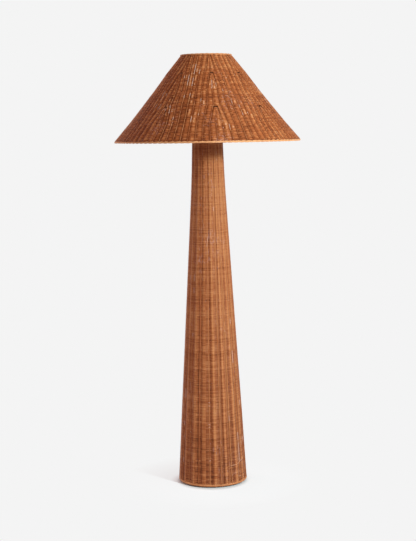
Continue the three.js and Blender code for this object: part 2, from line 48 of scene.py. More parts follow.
FRONT = -math.pi / 2
TURN = math.pi * 2
UP = np.array([0, 0, 1.0])
MM = 0.001
MERGE_DISTANCE = 0.00001

# Column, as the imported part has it
COLUMN_HEIGHT = 1.215
COLUMN_FOOT_RADIUS = 0.1185
COLUMN_HEIGHT_SHARES = [0, 0.08, 0.2, 0.43, 0.66, 0.78, 0.835, 0.89, 1]
COLUMN_RADIUS_SHARES = [1, 0.952, 0.882, 0.738, 0.597, 0.523, 0.491, 0.4645, 0.428]
COLUMN_WEAVE = (0.0118, 1.2062)
COLUMN_ROWS = 496
COLUMN_BANDS = 4
COLUMN_PITCH = (COLUMN_WEAVE[1] - COLUMN_WEAVE[0]) / COLUMN_ROWS
ROW_HEIGHTS = np.linspace(*COLUMN_WEAVE, COLUMN_ROWS)
RIDGES = 18
RIDGE_TURN = math.radians(5)
STAKES = 2 * RIDGES

# One ridge of the column: shares of its width, how deep the weaver lies below the crest there, and its
# painted shade and dirt
RIDGE_SHARES = [0, 0.11, 0.22, 0.34, 0.5, 0.66, 0.78, 0.89]
RIDGE_DEPTHS = [0, 0.0005, 0.0018, 0.0034, 0.0043, 0.0034, 0.0018, 0.0005]
RIDGE_DARKENING = [0, 0.33, 0.75, 1, 0.5, 1, 0.75, 0.33]
RIDGE_PLACES = 2 * (np.arange(RIDGES)[:, None] + np.array(RIDGE_SHARES)).ravel()
COLUMN_SWELL = 0.0014
WEAVER_HALF = 0.0009
STAKE_DEPTH = 0.0034
STAKE_RADIUS = 0.0013

# Uneven work on the column: sway of a stake in radians a metre, spread of a weaver's dents and jogs,
# and the waves of a row, each with its size, its turns round the column and its turn in radians a metre
SWAY_RATE = 4.3
WEAVER_DENT = 0.00008
WEAVER_JOG = 0.00005
ROW_WAVES = [(0.0004, 3, 9), (0.0003, 7, -23)]

# Shade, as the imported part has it
SHADE_TOP = 1.4687
SHADE_FOOT = 1.1868
SHADE_TOP_RADIUS = 0.0895
SHADE_FOOT_RADIUS = 0.316
SHADE_LEVELS = [0, 0.2, 0.4, 0.6, 0.8, 1]
SHADE_HOLLOW = [0, -0.0013, 0.0095, 0.0115, 0.01, 0]
SHADE_BANDS = 5
SHADE_ROWS = 29
RIM_ROWS = 2
SHADE_PANELS = 8
SHADE_TURN = math.radians(7.2)
PANEL_TURN = TURN / SHADE_PANELS
SHADE_STAKES = [8, 12, 16, 16, 20]
SHADE_ADDED = [4, 4, 0, 4, 0]
SHADE_STAKE_RADIUS = 0.0010
SHADE_STAKE_SAMPLES = 51
SHADE_WEAVER_HALF = 0.0008
WEAVER_SWING = 0.00148
SHADE_WALL_MIDDLE = 0.0022
RIB_LIFT = -0.0041
HUB_FOOT = 1.4485

# How far out and how far up the normal of the shade's wall points
SHADE_SLANT = math.hypot(SHADE_TOP - SHADE_FOOT, SHADE_FOOT_RADIUS - SHADE_TOP_RADIUS)
WALL_OUT = (SHADE_TOP - SHADE_FOOT) / SHADE_SLANT
WALL_UP = (SHADE_FOOT_RADIUS - SHADE_TOP_RADIUS) / SHADE_SLANT

# Rolled borders: strands laid round a core, and the steps of the ring to one lay
BORDER_RODS = 3
BORDER_STEPS = 14
BORDER_CORNERS = 7
BORDER_KNOTS = 12

# Cut ends: share of the length, lift off the weave and swell of each of the three sections
END_SECTIONS = [(-0.5, -0.0004, 1), (0.1, 0.0005, 1), (0.5, 0.0011, 0.75)]
END_LENGTH = 0.006

# Tones run from 0, dark, to 1, pale. Lengths of rattan are in metres, and each has its own tone.
LENGTH_TONES = (0.2, 0.85)
COLUMN_LENGTHS = (1.6, 3.4)
SHADE_LENGTHS = (1.6, 3.6)
STREAK_ROWS = 1
COLUMN_TONE = 0.55
COLUMN_PALEST = 0.76
SHADE_TONE = 0.39
SHADE_PALEST = 0.86
# Tone and shade of the pale runs, which are painted glints and worn skin
GLINT_AND_WEAR_TONES = (0.90, 1.20)
GLINT_AND_WEAR_SHADE = 0.1

# Patches of pale runs on the stakes, painted glints and worn skin: degrees from the front, height or share
# of the way down, half the width in degrees, half the height, and how much of the patch is pale
SHADE_GLINTS_AND_WEAR = [
    (-20, 0.24, 12, 0.13, 0.6), (-18, 0.52, 7, 0.06, 0.5), (-4, 0.54, 4, 0.05, 0.4), (-11, 0.69, 6, 0.1, 0.4),
    (-34, 0.60, 6, 0.10, 0.5), (-24, 0.77, 5, 0.05, 0.35), (-49, 0.55, 7, 0.14, 0.3), (8, 0.34, 5, 0.06, 0.4),
    (19, 0.38, 4, 0.07, 0.35), (24, 0.60, 5, 0.06, 0.35), (32, 0.70, 6, 0.06, 0.4), (12, 0.82, 6, 0.08, 0.35),
]
COLUMN_GLINTS_AND_WEAR = [
    (-62, 0.20, 16, 0.16, 0.2), (-35, 0.32, 9, 0.12, 0.1), (14, 0.24, 14, 0.10, 0.2),
    (62, 0.28, 16, 0.22, 0.25), (55, 0.62, 16, 0.14, 0.15), (-50, 0.66, 16, 0.16, 0.15),
    (0, 0.52, 12, 0.08, 0.12), (5, 0.86, 20, 0.12, 0.15),
]
BACK_PATCHES = 26
BACK_LEAST = (65, 0.1, 4, 0.05, 0.2)
BACK_MOST = (285, 0.9, 10, 0.12, 0.5)

# Seeded chance, so that every run draws the same
chance = random.Random(18)
dice = np.random.default_rng(18)
sway_size = dice.normal(0, 0.0007, STAKES + 1)
sway_start = dice.uniform(0, TURN, STAKES + 1)
ridge_rise = dice.uniform(0.82, 1.12, RIDGES)

# Tone of each ridge, random, with painted light and shade added at the front. Ridges to the right of the
# front come first, those to its left come last, and the ones between stay as drawn
ridge_tone_and_painted_light = dice.normal(0, 0.05, RIDGES)
ridge_tone_and_painted_light[:5] += (0.05, 0.03, -0.04, -0.10, -0.08)
ridge_tone_and_painted_light[14:] += (0.0, 0.03, -0.11, -0.09)
# Painted shade and dirt in each ridge's grooves, less on four ridges to the left so that they are lighter
ridge_darkening = np.ones(RIDGES)
ridge_darkening[14:] = (0.75, 0.40, 0.42, 0.85)

# Tone of each panel of the shade, with painted light and shade on the panels at the front, and how strongly
# the painted light and shadow at each seam stand out
panel_tone_and_painted_light = np.array([-0.05, -0.08, 0.02, -0.03, 0.03, -0.02, 0.06, -0.11])
seam_painted_light_strength = np.array([1, 0.3, 0.7, 0.4, 0.8, 0.5, 0.6, 0.3])
SHADE_GLINTS_AND_WEAR += [tuple(dice.uniform(BACK_LEAST, BACK_MOST)) for _ in range(BACK_PATCHES)]
MIDDLE_STAKE = 32
# Tone of each stake: its panel's tone and painted light, and a random part
stake_tone_and_painted_light = panel_tone_and_painted_light[:, None] + dice.normal(0, 0.08, (SHADE_PANELS, 2 * MIDDLE_STAKE))


# Shapes shared by the pieces


def finish(piece, name, body, slot, material, *stands_for):
    piece.name = name
    piece.data.name = name
    piece.data.materials.clear()
    piece.data.materials.append(material)
    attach(piece, body)
    if stands_for:
        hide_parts(*stands_for)
    piece.select_set(False)


def in_scene(name, data):
    piece = bpy.data.objects.new(name, data)
    bpy.context.scene.collection.objects.link(piece)
    return piece


def select_only(*pieces):
    bpy.ops.object.select_all(action="DESELECT")
    for piece in pieces:
        piece.select_set(True)
    bpy.context.view_layer.objects.active = pieces[0]


def column_radius(z):
    return COLUMN_FOOT_RADIUS * np.interp(z / COLUMN_HEIGHT, COLUMN_HEIGHT_SHARES, COLUMN_RADIUS_SHARES)


def shade_radius(share):
    straight = SHADE_TOP_RADIUS + (SHADE_FOOT_RADIUS - SHADE_TOP_RADIUS) * share
    return straight - SHADE_FOOT_RADIUS * np.interp(share, SHADE_LEVELS, SHADE_HOLLOW)


def on_wall(share, lift):
    """Radius and height of the wall's middle at a share of the way down, lifted along its normal."""
    r = shade_radius(share) + (lift - SHADE_WALL_MIDDLE) * WALL_OUT
    z = SHADE_TOP + (SHADE_FOOT - SHADE_TOP) * share + (lift - SHADE_WALL_MIDDLE) * WALL_UP
    return r, z


def polar(r, angle, z):
    """Points at a radius, an angle and a height round the z axis."""
    return np.stack(np.broadcast_arrays(r * np.cos(angle), r * np.sin(angle), z), -1)


def outward(angle):
    return polar(1, angle, 0)


def sideways(angle):
    return polar(1, angle + TURN / 4, 0)


def unit(vectors):
    return vectors / np.linalg.norm(vectors, axis=-1, keepdims=True)


def round_section(centre, across, up, radius, corners):
    turn = np.arange(corners) / corners * TURN
    return (
        centre[..., None, :]
        + across[..., None, :] * (radius * np.cos(turn))[:, None]
        + up[..., None, :] * (radius * np.sin(turn))[:, None]
    )


def strands(sections, ring, tone, shade_and_dirt):
    """Many strands as one mesh, from the points of every strand, sample and corner.

    Strands follow a computed path by the thousand, so their faces are laid out here and not by hand.
    A ring's last sample meets its first. Tone, and painted shade with dirt, become attributes that the rattan
    reads.
    """
    count, samples, corners, _ = sections.shape
    runs = samples if ring else samples - 1
    steps = np.meshgrid(np.arange(count), np.arange(runs), np.arange(corners), indexing="ij")
    quads, ends = strand_faces(steps, sections.shape, ring)
    sizes = np.repeat((4, corners), (len(quads), len(ends)))
    loops = np.concatenate([quads.ravel(), ends.ravel()])
    mesh = bpy.data.meshes.new("strands")
    mesh.vertices.add(count * samples * corners)
    mesh.vertices.foreach_set("co", sections.astype(np.float32).ravel())
    mesh.loops.add(len(loops))
    mesh.loops.foreach_set("vertex_index", loops.astype(np.int32))
    mesh.polygons.add(len(sizes))
    mesh.polygons.foreach_set("loop_start", (np.cumsum(sizes) - sizes).astype(np.int32))
    mesh.polygons.foreach_set("loop_total", sizes.astype(np.int32))
    mesh.update(calc_edges=True)
    for key, value in (("tone", tone), ("shade_and_dirt", shade_and_dirt)):
        spread = np.broadcast_to(value[..., None], (count, samples, corners))
        kept = mesh.attributes.new(key, "FLOAT", "POINT")
        kept.data.foreach_set("value", spread.astype(np.float32).ravel())
    layer = mesh.uv_layers.new(name="OFBake")
    layer.data.foreach_set("uv", strand_layout(steps, runs, count, corners, ring).astype(np.float32).ravel())
    turn_outwards(mesh)
    mesh.polygons.foreach_set("use_smooth", np.ones(len(sizes), bool))
    mesh.update()
    return in_scene("strands", mesh)


def strand_faces(steps, shape, ring):
    """Four corners of each side face, and the end faces of strands that are no ring."""
    strand, sample, corner = steps
    count, samples, corners, _ = shape
    after = (sample + 1) % samples
    beside = (corner + 1) % corners
    at = lambda s, c: (strand * samples + s) * corners + c
    quads = np.stack([at(sample, corner), at(after, corner), at(after, beside), at(sample, beside)], -1)
    first = np.arange(0 if ring else count)[:, None] * samples * corners + np.arange(corners)
    last = first + (samples - 1) * corners
    return quads.reshape(-1, 4), np.concatenate([first, last[:, ::-1]])


def strand_layout(steps, runs, count, corners, ring):
    """Flat layout for baking. Each strand is one row of it, with a lane for each side."""
    strand, sample, corner = steps
    along = np.stack([sample, sample + 1, sample + 1, sample], -1) / runs
    lane = np.stack([corner, corner, corner + 1, corner + 1], -1)
    across = (strand[..., None] * corners + lane) / (count * corners)
    ends = np.repeat([[0.0, 0.0], [1.0, 1.0]], 0 if ring else count * corners, axis=0)
    return np.concatenate([np.stack([along, across], -1).reshape(-1, 2), ends])


def turn_outwards(mesh):
    mesh.calc_loop_triangles()
    corners = np.zeros(len(mesh.loop_triangles) * 3, np.int32)
    mesh.loop_triangles.foreach_get("vertices", corners)
    places = np.zeros(len(mesh.vertices) * 3, np.float32)
    mesh.vertices.foreach_get("co", places)
    a, b, c = (places.reshape(-1, 3)[corners.reshape(-1, 3)[:, i]] for i in range(3))
    if np.einsum("ij,ij->i", a, np.cross(b, c)).sum() < 0:
        mesh.flip_normals()


def length_tones(girths, samples, lengths):
    """Tones of lengths that follow on each other row by row, and the row and share of each joint."""
    starts, tones = [0.0], [dice.uniform(*LENGTH_TONES)]
    while starts[-1] < float(np.sum(girths)):
        starts.append(starts[-1] + dice.uniform(*lengths))
        tones.append(dice.uniform(*LENGTH_TONES))
    before = np.concatenate([[0], np.cumsum(girths)[:-1]])
    along = before[:, None] + girths[:, None] * (np.arange(samples) / samples)
    which = np.searchsorted(starts, along, side="right") - 1
    joints = []
    for start in starts[1:-1]:
        row = int(np.searchsorted(before, start, side="right") - 1)
        joints.append((row, (start - before[row]) / girths[row]))
    return np.array(tones)[which], joints


def streaks(rows, columns, amount):
    """Uneven tones, each of which holds over STREAK_ROWS rows of the weave."""
    total = np.cumsum(dice.normal(0, amount, (rows + STREAK_ROWS, columns)), axis=0)
    return (total[STREAK_ROWS:] - total[:-STREAK_ROWS]) / math.sqrt(STREAK_ROWS)


def paint_glints_and_wear(tone, shade_and_dirt, turns, heights, patches, run, where=True):
    """Short runs in each patch turn pale, as painted glints and worn skin. A run is so many columns of a row.
    """
    rows, columns = tone.shape
    for turn, height, wide, high, pale_share in patches:
        away = np.abs((turns - math.radians(turn) + math.pi) % TURN - math.pi)
        near = np.hypot(away / math.radians(wide), (heights - height) / high) < 1
        runs = np.repeat(dice.random((rows, columns // run + 1)), run, axis=1)[:, :columns]
        # Pale runs: painted glints and worn skin
        worn = near & (runs < pale_share) & where
        tone[worn] = dice.uniform(*GLINT_AND_WEAR_TONES, tone.shape)[worn]
        shade_and_dirt[worn] = GLINT_AND_WEAR_SHADE


# Column


def stake_angle(place, z):
    """Angles of places round the column. Even ones are stakes under a ridge, odd ones stakes in a groove."""
    wander = sway_size * np.sin(z[:, None] * SWAY_RATE + sway_start)
    wander[:, -1] = wander[:, 0]
    low = np.floor(place).astype(int)
    part = place - low
    around = wander[:, low] * (1 - part) + wander[:, low + 1] * part
    return FRONT + RIDGE_TURN + place * TURN / STAKES + around / column_radius(z)[:, None]


def column_weave(material):
    """Rows of weavers in four bands. Every row is one closed strand."""
    sections = column_weaver_sections()
    tone, joints = column_weaver_tones()
    shade_and_dirt = column_weaver_shade_and_dirt()
    for band, rows in enumerate(np.array_split(np.arange(COLUMN_ROWS), COLUMN_BANDS)):
        name = "column_weavers_%d" % (band + 1)
        made = strands(sections[rows], True, tone[rows], shade_and_dirt[rows])
        finish(made, name, "stand", "rattan", material, "column_weave")
    return joints


def column_weaver_sections():
    """Corners of every weaver, which goes over the ridges and in at the stakes between them."""
    z = ROW_HEIGHTS[:, None]
    angle = stake_angle(RIDGE_PLACES, ROW_HEIGHTS)
    slim = column_radius(z) / COLUMN_FOOT_RADIUS
    ridge = np.tile(RIDGE_DEPTHS, RIDGES) * np.repeat(ridge_rise, len(RIDGE_SHARES))
    depth = ridge * slim ** 0.75 * (0.92 + 0.16 * dice.random((COLUMN_ROWS, 1)))
    crest = column_radius(z) + COLUMN_SWELL - WEAVER_HALF
    r = crest - depth - np.abs(dice.normal(0, WEAVER_DENT, angle.shape))
    wave = sum(size * np.sin(turns * angle + z * rise) for size, turns, rise in ROW_WAVES)
    z = z + wave + dice.normal(0, WEAVER_JOG, angle.shape)
    high = COLUMN_PITCH * (0.5 + 0.06 * dice.random((COLUMN_ROWS, 1)))
    thick = WEAVER_HALF
    corners = [(r + thick, z), (r, z + high), (r - thick, z), (r, z - high)]
    return np.stack([polar(radius, angle, height) for radius, height in corners], 2)


def column_weaver_tones():
    z = ROW_HEIGHTS[:, None]
    samples = len(RIDGE_PLACES)
    tone, joints = length_tones(column_radius(ROW_HEIGHTS) * TURN, samples, COLUMN_LENGTHS)
    tone = COLUMN_TONE + (tone - 0.5) * np.interp(z, (0, 0.5, COLUMN_HEIGHT), (0.24, 0.22, 0.18))
    tone += changes_with_height(0.02, 90, 1)
    # Painted light: the weave is paler towards the top of the column
    tone += 0.06 * z / COLUMN_HEIGHT + streaks(COLUMN_ROWS, 1, 0.10)
    crossings = np.roll(np.repeat(streaks(COLUMN_ROWS, STAKES, 0.17), 4, axis=1), -2, axis=1)
    crossings *= np.interp(z, (0, 0.3, 0.7, COLUMN_HEIGHT), (0.95, 0.75, 0.55, 0.45))
    lines = dice.normal(0, 0.18, samples) + changes_with_height(0.08, 24, samples)
    # Each ridge's tone with its painted light and shade, and the crossings and lines of uneven tone
    tone += np.repeat(ridge_tone_and_painted_light, len(RIDGE_SHARES)) + crossings + lines
    return np.minimum(tone, COLUMN_PALEST), joints


def changes_with_height(amount, steps, columns):
    """Tones drawn at so many heights of the column and blended between them."""
    drawn = dice.normal(0, amount, (steps, columns))
    heights = np.linspace(0, COLUMN_HEIGHT, steps)
    return np.stack([np.interp(ROW_HEIGHTS, heights, column) for column in drawn.T], -1)


def column_weaver_shade_and_dirt():
    """Painted shade and dirt sit in the grooves, most of it low on the column."""
    groove = np.tile(RIDGE_DARKENING, RIDGES) * np.repeat(ridge_darkening, len(RIDGE_SHARES))
    slim = column_radius(ROW_HEIGHTS[:, None]) / COLUMN_FOOT_RADIUS
    return groove * (0.3 + 0.58 * (slim - 0.43) / 0.57)


def column_stakes(material):
    heights = np.linspace(COLUMN_WEAVE[0] - 0.002, COLUMN_WEAVE[1] + 0.002, 110)
    angle = stake_angle(np.arange(STAKES), heights).T
    centre = polar(column_radius(heights) + COLUMN_SWELL - STAKE_DEPTH, angle, heights)
    sections = round_section(centre, outward(angle), sideways(angle), STAKE_RADIUS, 6)
    tone = dice.uniform(0.54, 0.92, (STAKES, 1)) + dice.normal(0, 0.08, angle.shape)
    # Painted shade and dirt on each stake
    shade_and_dirt = dice.uniform(0, 0.3, (STAKES, 1)) + 0 * angle
    # Pale runs: painted glints and worn skin
    paint_glints_and_wear(tone, shade_and_dirt, angle - FRONT, heights, COLUMN_GLINTS_AND_WEAR, 2)
    finish(strands(sections, False, tone, shade_and_dirt), "column_stakes", "stand", "rattan_light", material)


def cut_ends(name, spots, body, material):
    """Short ends that stand proud of the weave where a length of rattan ends beside a stake."""
    sections = np.zeros((len(spots), len(END_SECTIONS), 5, 3))
    tone = np.zeros(sections.shape[:2])
    for i, (centre, along, out, radius, pale) in enumerate(spots):
        side = unit(np.cross(along, out))
        for j, (share, lift, swell) in enumerate(END_SECTIONS):
            middle = centre + along * (END_LENGTH * share) + out * lift
            sections[i, j] = round_section(middle, out, side, radius * swell, 5)
        tone[i] = pale
    finish(strands(sections, False, tone, 0 * tone), name, body, "rattan_light", material)


def end_direction(angle, slope):
    """Along the row to either side, and a little up or down."""
    return unit(sideways(angle) * chance.choice((-1, 1)) + UP * chance.uniform(-slope, slope))


def column_cut_ends(joints, material):
    """An end beside the nearest stake for every joint, and a group of broken ends low at the front."""
    spots = []
    for row, share in joints:
        nearest = (round(share * RIDGES - 0.5) + 0.5 + chance.choice((-0.07, 0.07))) / RIDGES
        angle = FRONT + RIDGE_TURN + nearest * TURN
        spots.append(column_end(angle, ROW_HEIGHTS[row], 0.0009, chance.uniform(0.6, 1)))
    for z in (0.294, 0.283, 0.2186, 0.210, 0.094):
        spots.append(column_end(FRONT - math.radians(5), z, 0.0011, 1.15))
    cut_ends("column_cut_ends", spots, "stand", material)


def column_end(angle, z, radius, pale):
    centre = polar(column_radius(z) - 0.0019, angle, z)
    return centre, end_direction(angle, 0.25), outward(angle), radius, pale


def loose_weaver(material):
    """One weaver low on the right has come out of the weave and lies over it."""
    shares = np.linspace(0, 1, 25)
    angle = FRONT + np.radians(24 + 40 * shares)
    z = 0.066 + 0.016 * shares + 0.002 * np.sin(shares * 9)
    r = column_radius(z) + 0.0002 - 0.0007 * np.sin(shares * TURN * 2) ** 2
    sections = round_section(polar(r, angle, z), outward(angle), UP, 0.0009, 5)[None]
    tone = np.full((1, len(shares)), 0.95)
    made = strands(sections, False, tone, 0 * tone)
    finish(made, "column_loose_weaver", "stand", "rattan_light", material)


def rolled_border(name, node, body, material, radius, height, strand, offset, lays, flatten=1.0):
    """Strands laid round a core, like a rope bent into a ring. Offset is how far they lie from its middle."""
    steps = lays * BORDER_STEPS
    around = np.arange(steps) / steps * TURN
    across = outward(around) * flatten
    sections = np.zeros((BORDER_RODS + 1, steps, BORDER_CORNERS, 3))
    tone = np.zeros((BORDER_RODS + 1, steps))
    for rod in range(BORDER_RODS):
        lay = lays * around + rod / BORDER_RODS * TURN
        centre = polar(radius + flatten * offset * np.cos(lay), around, height + offset * np.sin(lay))
        sections[rod] = round_section(centre, across, UP, strand, BORDER_CORNERS)
        knots = dice.uniform(0.45, 0.8, BORDER_KNOTS)
        tone[rod] = np.repeat(knots, math.ceil(steps / BORDER_KNOTS))[:steps]
    core = polar(radius, around, height)
    sections[BORDER_RODS] = round_section(core, across, UP, offset * 1.15, BORDER_CORNERS)
    finish(strands(sections, True, tone, 0 * tone), name, body, "rattan_light", material, node)


# Shade


def seam_angle(panel):
    return FRONT + SHADE_TURN + panel * PANEL_TURN


def stake_steps(share):
    """Band at a height, angle from one full stake to the next, and how far the new ones have spread."""
    band = min(SHADE_BANDS - 1, max(0, int(np.searchsorted(SHADE_LEVELS, share, side="right")) - 1))
    part = (share - SHADE_LEVELS[band]) / (SHADE_LEVELS[band + 1] - SHADE_LEVELS[band])
    spread = 0.16 + 0.84 * min(1, max(0, part))
    return band, PANEL_TURN / (SHADE_STAKES[band] + SHADE_ADDED[band] * spread), spread


def panel_stakes(share):
    """Angles of all stakes at one height, in order round the shade, with the spread and tone of each."""
    band, step, spread = stake_steps(share)
    count = SHADE_STAKES[band]
    found = []
    for p in range(SHADE_PANELS):
        seam = seam_angle(p)
        for m in range(SHADE_ADDED[band]):
            if m < 2:
                own = stake_tone_and_painted_light[p - 1, MIDDLE_STAKE + count // 2 + 1 - m]
            else:
                own = stake_tone_and_painted_light[p, MIDDLE_STAKE - count // 2 + 2 - m]
            found.append((seam + (m - 1.5) * step * spread, spread, own))
        for k in range(count):
            place = k - (count - 1) / 2
            own = stake_tone_and_painted_light[p, math.floor(MIDDLE_STAKE + place)]
            found.append((seam + PANEL_TURN / 2 + place * step, 1, own))
    return np.array(sorted(found)).T


def row_step(band):
    return (SHADE_LEVELS[band + 1] - SHADE_LEVELS[band]) / SHADE_ROWS


def row_share(band, row):
    return SHADE_LEVELS[band] + (row + 0.5) * row_step(band)


def and_between(at_stakes, between):
    """Values at the stakes and half-way to the next, in turn round the shade."""
    return np.stack([at_stakes, between], -1).ravel()


def row_lift(band, row, spread, outside):
    """How far out a weaver lies at each stake: flat on the rim, and behind stakes that start here."""
    lift = WEAVER_SWING * np.where(outside, 1, -1) * np.sqrt(spread)
    lift = lift * dice.uniform(0.85, 1.05, len(spread))
    if row < 0:
        return lift * 0.3
    if row < 3 and band > 0:
        return np.where(spread < 0.9, -WEAVER_SWING * (1.5 - 0.3 * row), lift)
    return lift


def row_shade_and_dirt(band, row, spread, outside):
    """Painted shade and dirt at the stakes and between them, with most of it where new stakes crowd in."""
    sunk = np.where(outside, 0.0, 1.0)
    new = spread < 0.97
    after = np.roll(new, -1)
    gap = np.where(new != after, 1.4 - max(row, 0) / SHADE_ROWS, 0.4)
    if row < 2 and band > 0:
        sunk = np.where(new, 1.6, sunk)
        gap = np.where(new | after, 1.6, gap)
    return and_between(sunk, gap)


def seam_painted_light(turn, share):
    """Painted light to the right of a seam, and low down a narrow painted shadow to its left."""
    seams = (turn - FRONT - SHADE_TURN) / PANEL_TURN
    nearest = np.round(seams).astype(int)
    away = seams - nearest
    painted_seam_light = (0.08 + 0.16 * share) * np.exp(-((away - 0.055) / 0.18) ** 2)
    painted_seam_shadow = 0.14 * min(1, max(0, (share - 0.3) / 0.4)) * np.exp(-((away + 0.145) / 0.05) ** 2)
    return seam_painted_light_strength[nearest % SHADE_PANELS] * (painted_seam_light - painted_seam_shadow)


def shade_weaver_section(share, turn, lift, high):
    """Four corners of a weaver at each of its samples: outside, up, inside and down along the wall."""
    r, z = on_wall(share, lift)
    thick = SHADE_WEAVER_HALF
    corners = []
    for normal, along in ((thick, 0), (0, high), (-thick, 0), (0, -high)):
        radius = r + normal * WALL_OUT - along * WALL_UP
        corners.append(polar(radius, turn, z + normal * WALL_UP + along * WALL_OUT))
    return np.stack(corners, 1), float(np.mean(r)) * TURN


def shade_band(band):
    """Weavers of one band, which go outside one stake and inside the next."""
    sections, girths, shade_and_dirt, own = [], [], [], []
    for row in range(0 if band else -RIM_ROWS, SHADE_ROWS):
        share = row_share(band, row)
        angle, spread, shade = panel_stakes(max(share, SHADE_LEVELS[band]))
        outside = np.arange(len(angle)) % 2 == 0
        lift = row_lift(band, row, spread, outside)
        turn = and_between(angle, (np.append(angle[1:], angle[0] + TURN) + angle) / 2)
        lift = and_between(lift, (lift + np.roll(lift, -1)) * 0.5 + 0.2 * WEAVER_SWING)
        wave = 0.16 * np.sin(5 * turn + (row + band * SHADE_ROWS) * 0.3) + dice.normal(0, 0.03, len(turn))
        high = row_step(band) * SHADE_SLANT / 2 * (1.3 + 0.1 * dice.random())
        section, girth = shade_weaver_section(share + row_step(band) * wave, turn, lift, high)
        sections.append(section)
        girths.append(girth)
        shade_and_dirt.append(row_shade_and_dirt(band, row, spread, outside))
        # Tone of each stake with its painted light, and the painted light and shadow at the seams
        own.append(and_between(shade, (shade + np.roll(shade, -1)) / 2) + seam_painted_light(turn, share))
    return np.stack(sections), np.array(girths), np.stack(shade_and_dirt), np.stack(own)


def places_on_shade(sections):
    """Turn from the front and share of the way down of every sample."""
    x, y, z = np.moveaxis(sections.mean(2), -1, 0)
    return np.arctan2(y, x) - FRONT, (SHADE_TOP - z) / (SHADE_TOP - SHADE_FOOT)


def shade_weave(material):
    joints = []
    for band in range(SHADE_BANDS):
        sections, girths, shade_and_dirt, own = shade_band(band)
        rows, samples = shade_and_dirt.shape
        tone, ends = length_tones(girths, samples, SHADE_LENGTHS)
        # Painted light: the shade is paler at the top and darker towards its foot
        level = 0.05 - 0.12 * np.linspace(band, band + 1, rows)[:, None] / SHADE_BANDS
        tone = tone * 0.26 + SHADE_TONE + level + own + streaks(rows, 1, 0.09)
        crossings = np.repeat(streaks(rows, samples // 2, 0.17), 2, axis=1)
        tone = np.minimum(tone + crossings, SHADE_PALEST)
        turns, heights = places_on_shade(sections)
        # Pale runs on the crests: painted glints and worn skin
        paint_glints_and_wear(tone.T, shade_and_dirt.T, turns.T, heights.T, SHADE_GLINTS_AND_WEAR, 5, shade_and_dirt.T == 0)
        made = strands(sections, True, tone, shade_and_dirt)
        finish(made, "shade_weavers_%d" % (band + 1), "shade", "rattan", material, "shade_weave")
        joints += [(row_share(band, row), share) for row, share in ends]
    return joints


def stake_tracks():
    """Eight stakes to a panel run from edge to edge, and more start at each seam at the levels that add them.

    A track is the band it starts in, its panel's middle, its place from there in stakes, and its seam and
    number there if it is added.
    """
    tracks = []
    for p in range(SHADE_PANELS):
        seam = seam_angle(p)
        for k in range(SHADE_STAKES[0]):
            tracks.append((0, seam + PANEL_TURN / 2, k - (SHADE_STAKES[0] - 1) / 2, None, 0))
        for band in range(SHADE_BANDS):
            edge = SHADE_STAKES[band] / 2 + 0.5
            for m in range(SHADE_ADDED[band]):
                if m < 2:
                    tracks.append((band, seam - PANEL_TURN / 2, edge + 1 - m, seam, m))
                else:
                    tracks.append((band, seam + PANEL_TURN / 2, 2 - m - edge, seam, m))
    return tracks


def stake_path(band, home, place, seam, m):
    begin = SHADE_LEVELS[band] + (-0.004 if seam is None else 0.012)
    points = []
    for share in np.linspace(begin, 1.004, SHADE_STAKE_SAMPLES):
        here, step, spread = stake_steps(share)
        angle = home + place * step
        if seam is not None and here == band:
            angle = seam + (m - 1.5) * step * spread
        r, z = on_wall(share, 0)
        points.append((r * math.cos(angle), r * math.sin(angle), z))
    return points


def shade_stakes(material):
    centre = np.array([stake_path(*track) for track in stake_tracks()])
    run = unit(np.gradient(centre, axis=1))
    side = unit(np.cross(run, unit(centre * (1, 1, 0))))
    sections = round_section(centre, side, np.cross(side, run), SHADE_STAKE_RADIUS, 6)
    tone = dice.uniform(0.3, 0.75, (len(centre), 1)) + dice.normal(0, 0.12, centre.shape[:2])
    # Painted shade and dirt on every stake
    shade_and_dirt = 0.45 + 0 * tone
    # Pale runs: painted glints and worn skin
    paint_glints_and_wear(tone, shade_and_dirt, *places_on_shade(sections), SHADE_GLINTS_AND_WEAR, 2)
    finish(strands(sections, False, tone, shade_and_dirt), "shade_stakes", "shade", "rattan_light", material)


def shade_cut_ends(joints, material):
    spots = []
    for share, around in joints:
        angle = FRONT + around * TURN
        r, z = on_wall(share, WEAVER_SWING)
        along = end_direction(angle, 0.3)
        out = polar(WALL_OUT, angle, WALL_UP)
        spots.append((polar(r, angle, z), along, out, 0.0008, chance.uniform(0.6, 1.05)))
    cut_ends("shade_cut_ends", spots, "shade", material)


# Turned and bent pieces


def spun(profile, steps=48):
    """A profile of radius and height, drawn as an edge line and spun round the z axis."""
    mesh = bpy.data.meshes.new("spun")
    corners = [(r, 0, z) for r, z in profile]
    mesh.from_pydata(corners, [(i, i + 1) for i in range(len(corners) - 1)], [])
    piece = in_scene("spun", mesh)
    select_only(piece)
    bpy.ops.object.mode_set(mode="EDIT")
    bpy.ops.mesh.select_all(action="SELECT")
    bpy.ops.mesh.spin(steps=steps, angle=TURN, center=(0, 0, 0), axis=(0, 0, 1))
    close_up(35)
    return piece


def close_up(smooth):
    """Merges doubles, turns faces outwards, leaves edit mode, and smooths edges below so many degrees."""
    bpy.ops.mesh.select_all(action="SELECT")
    bpy.ops.mesh.remove_doubles(threshold=MERGE_DISTANCE)
    bpy.ops.mesh.normals_make_consistent(inside=False)
    bpy.ops.object.mode_set(mode="OBJECT")
    bpy.ops.object.shade_smooth_by_angle(angle=math.radians(smooth))


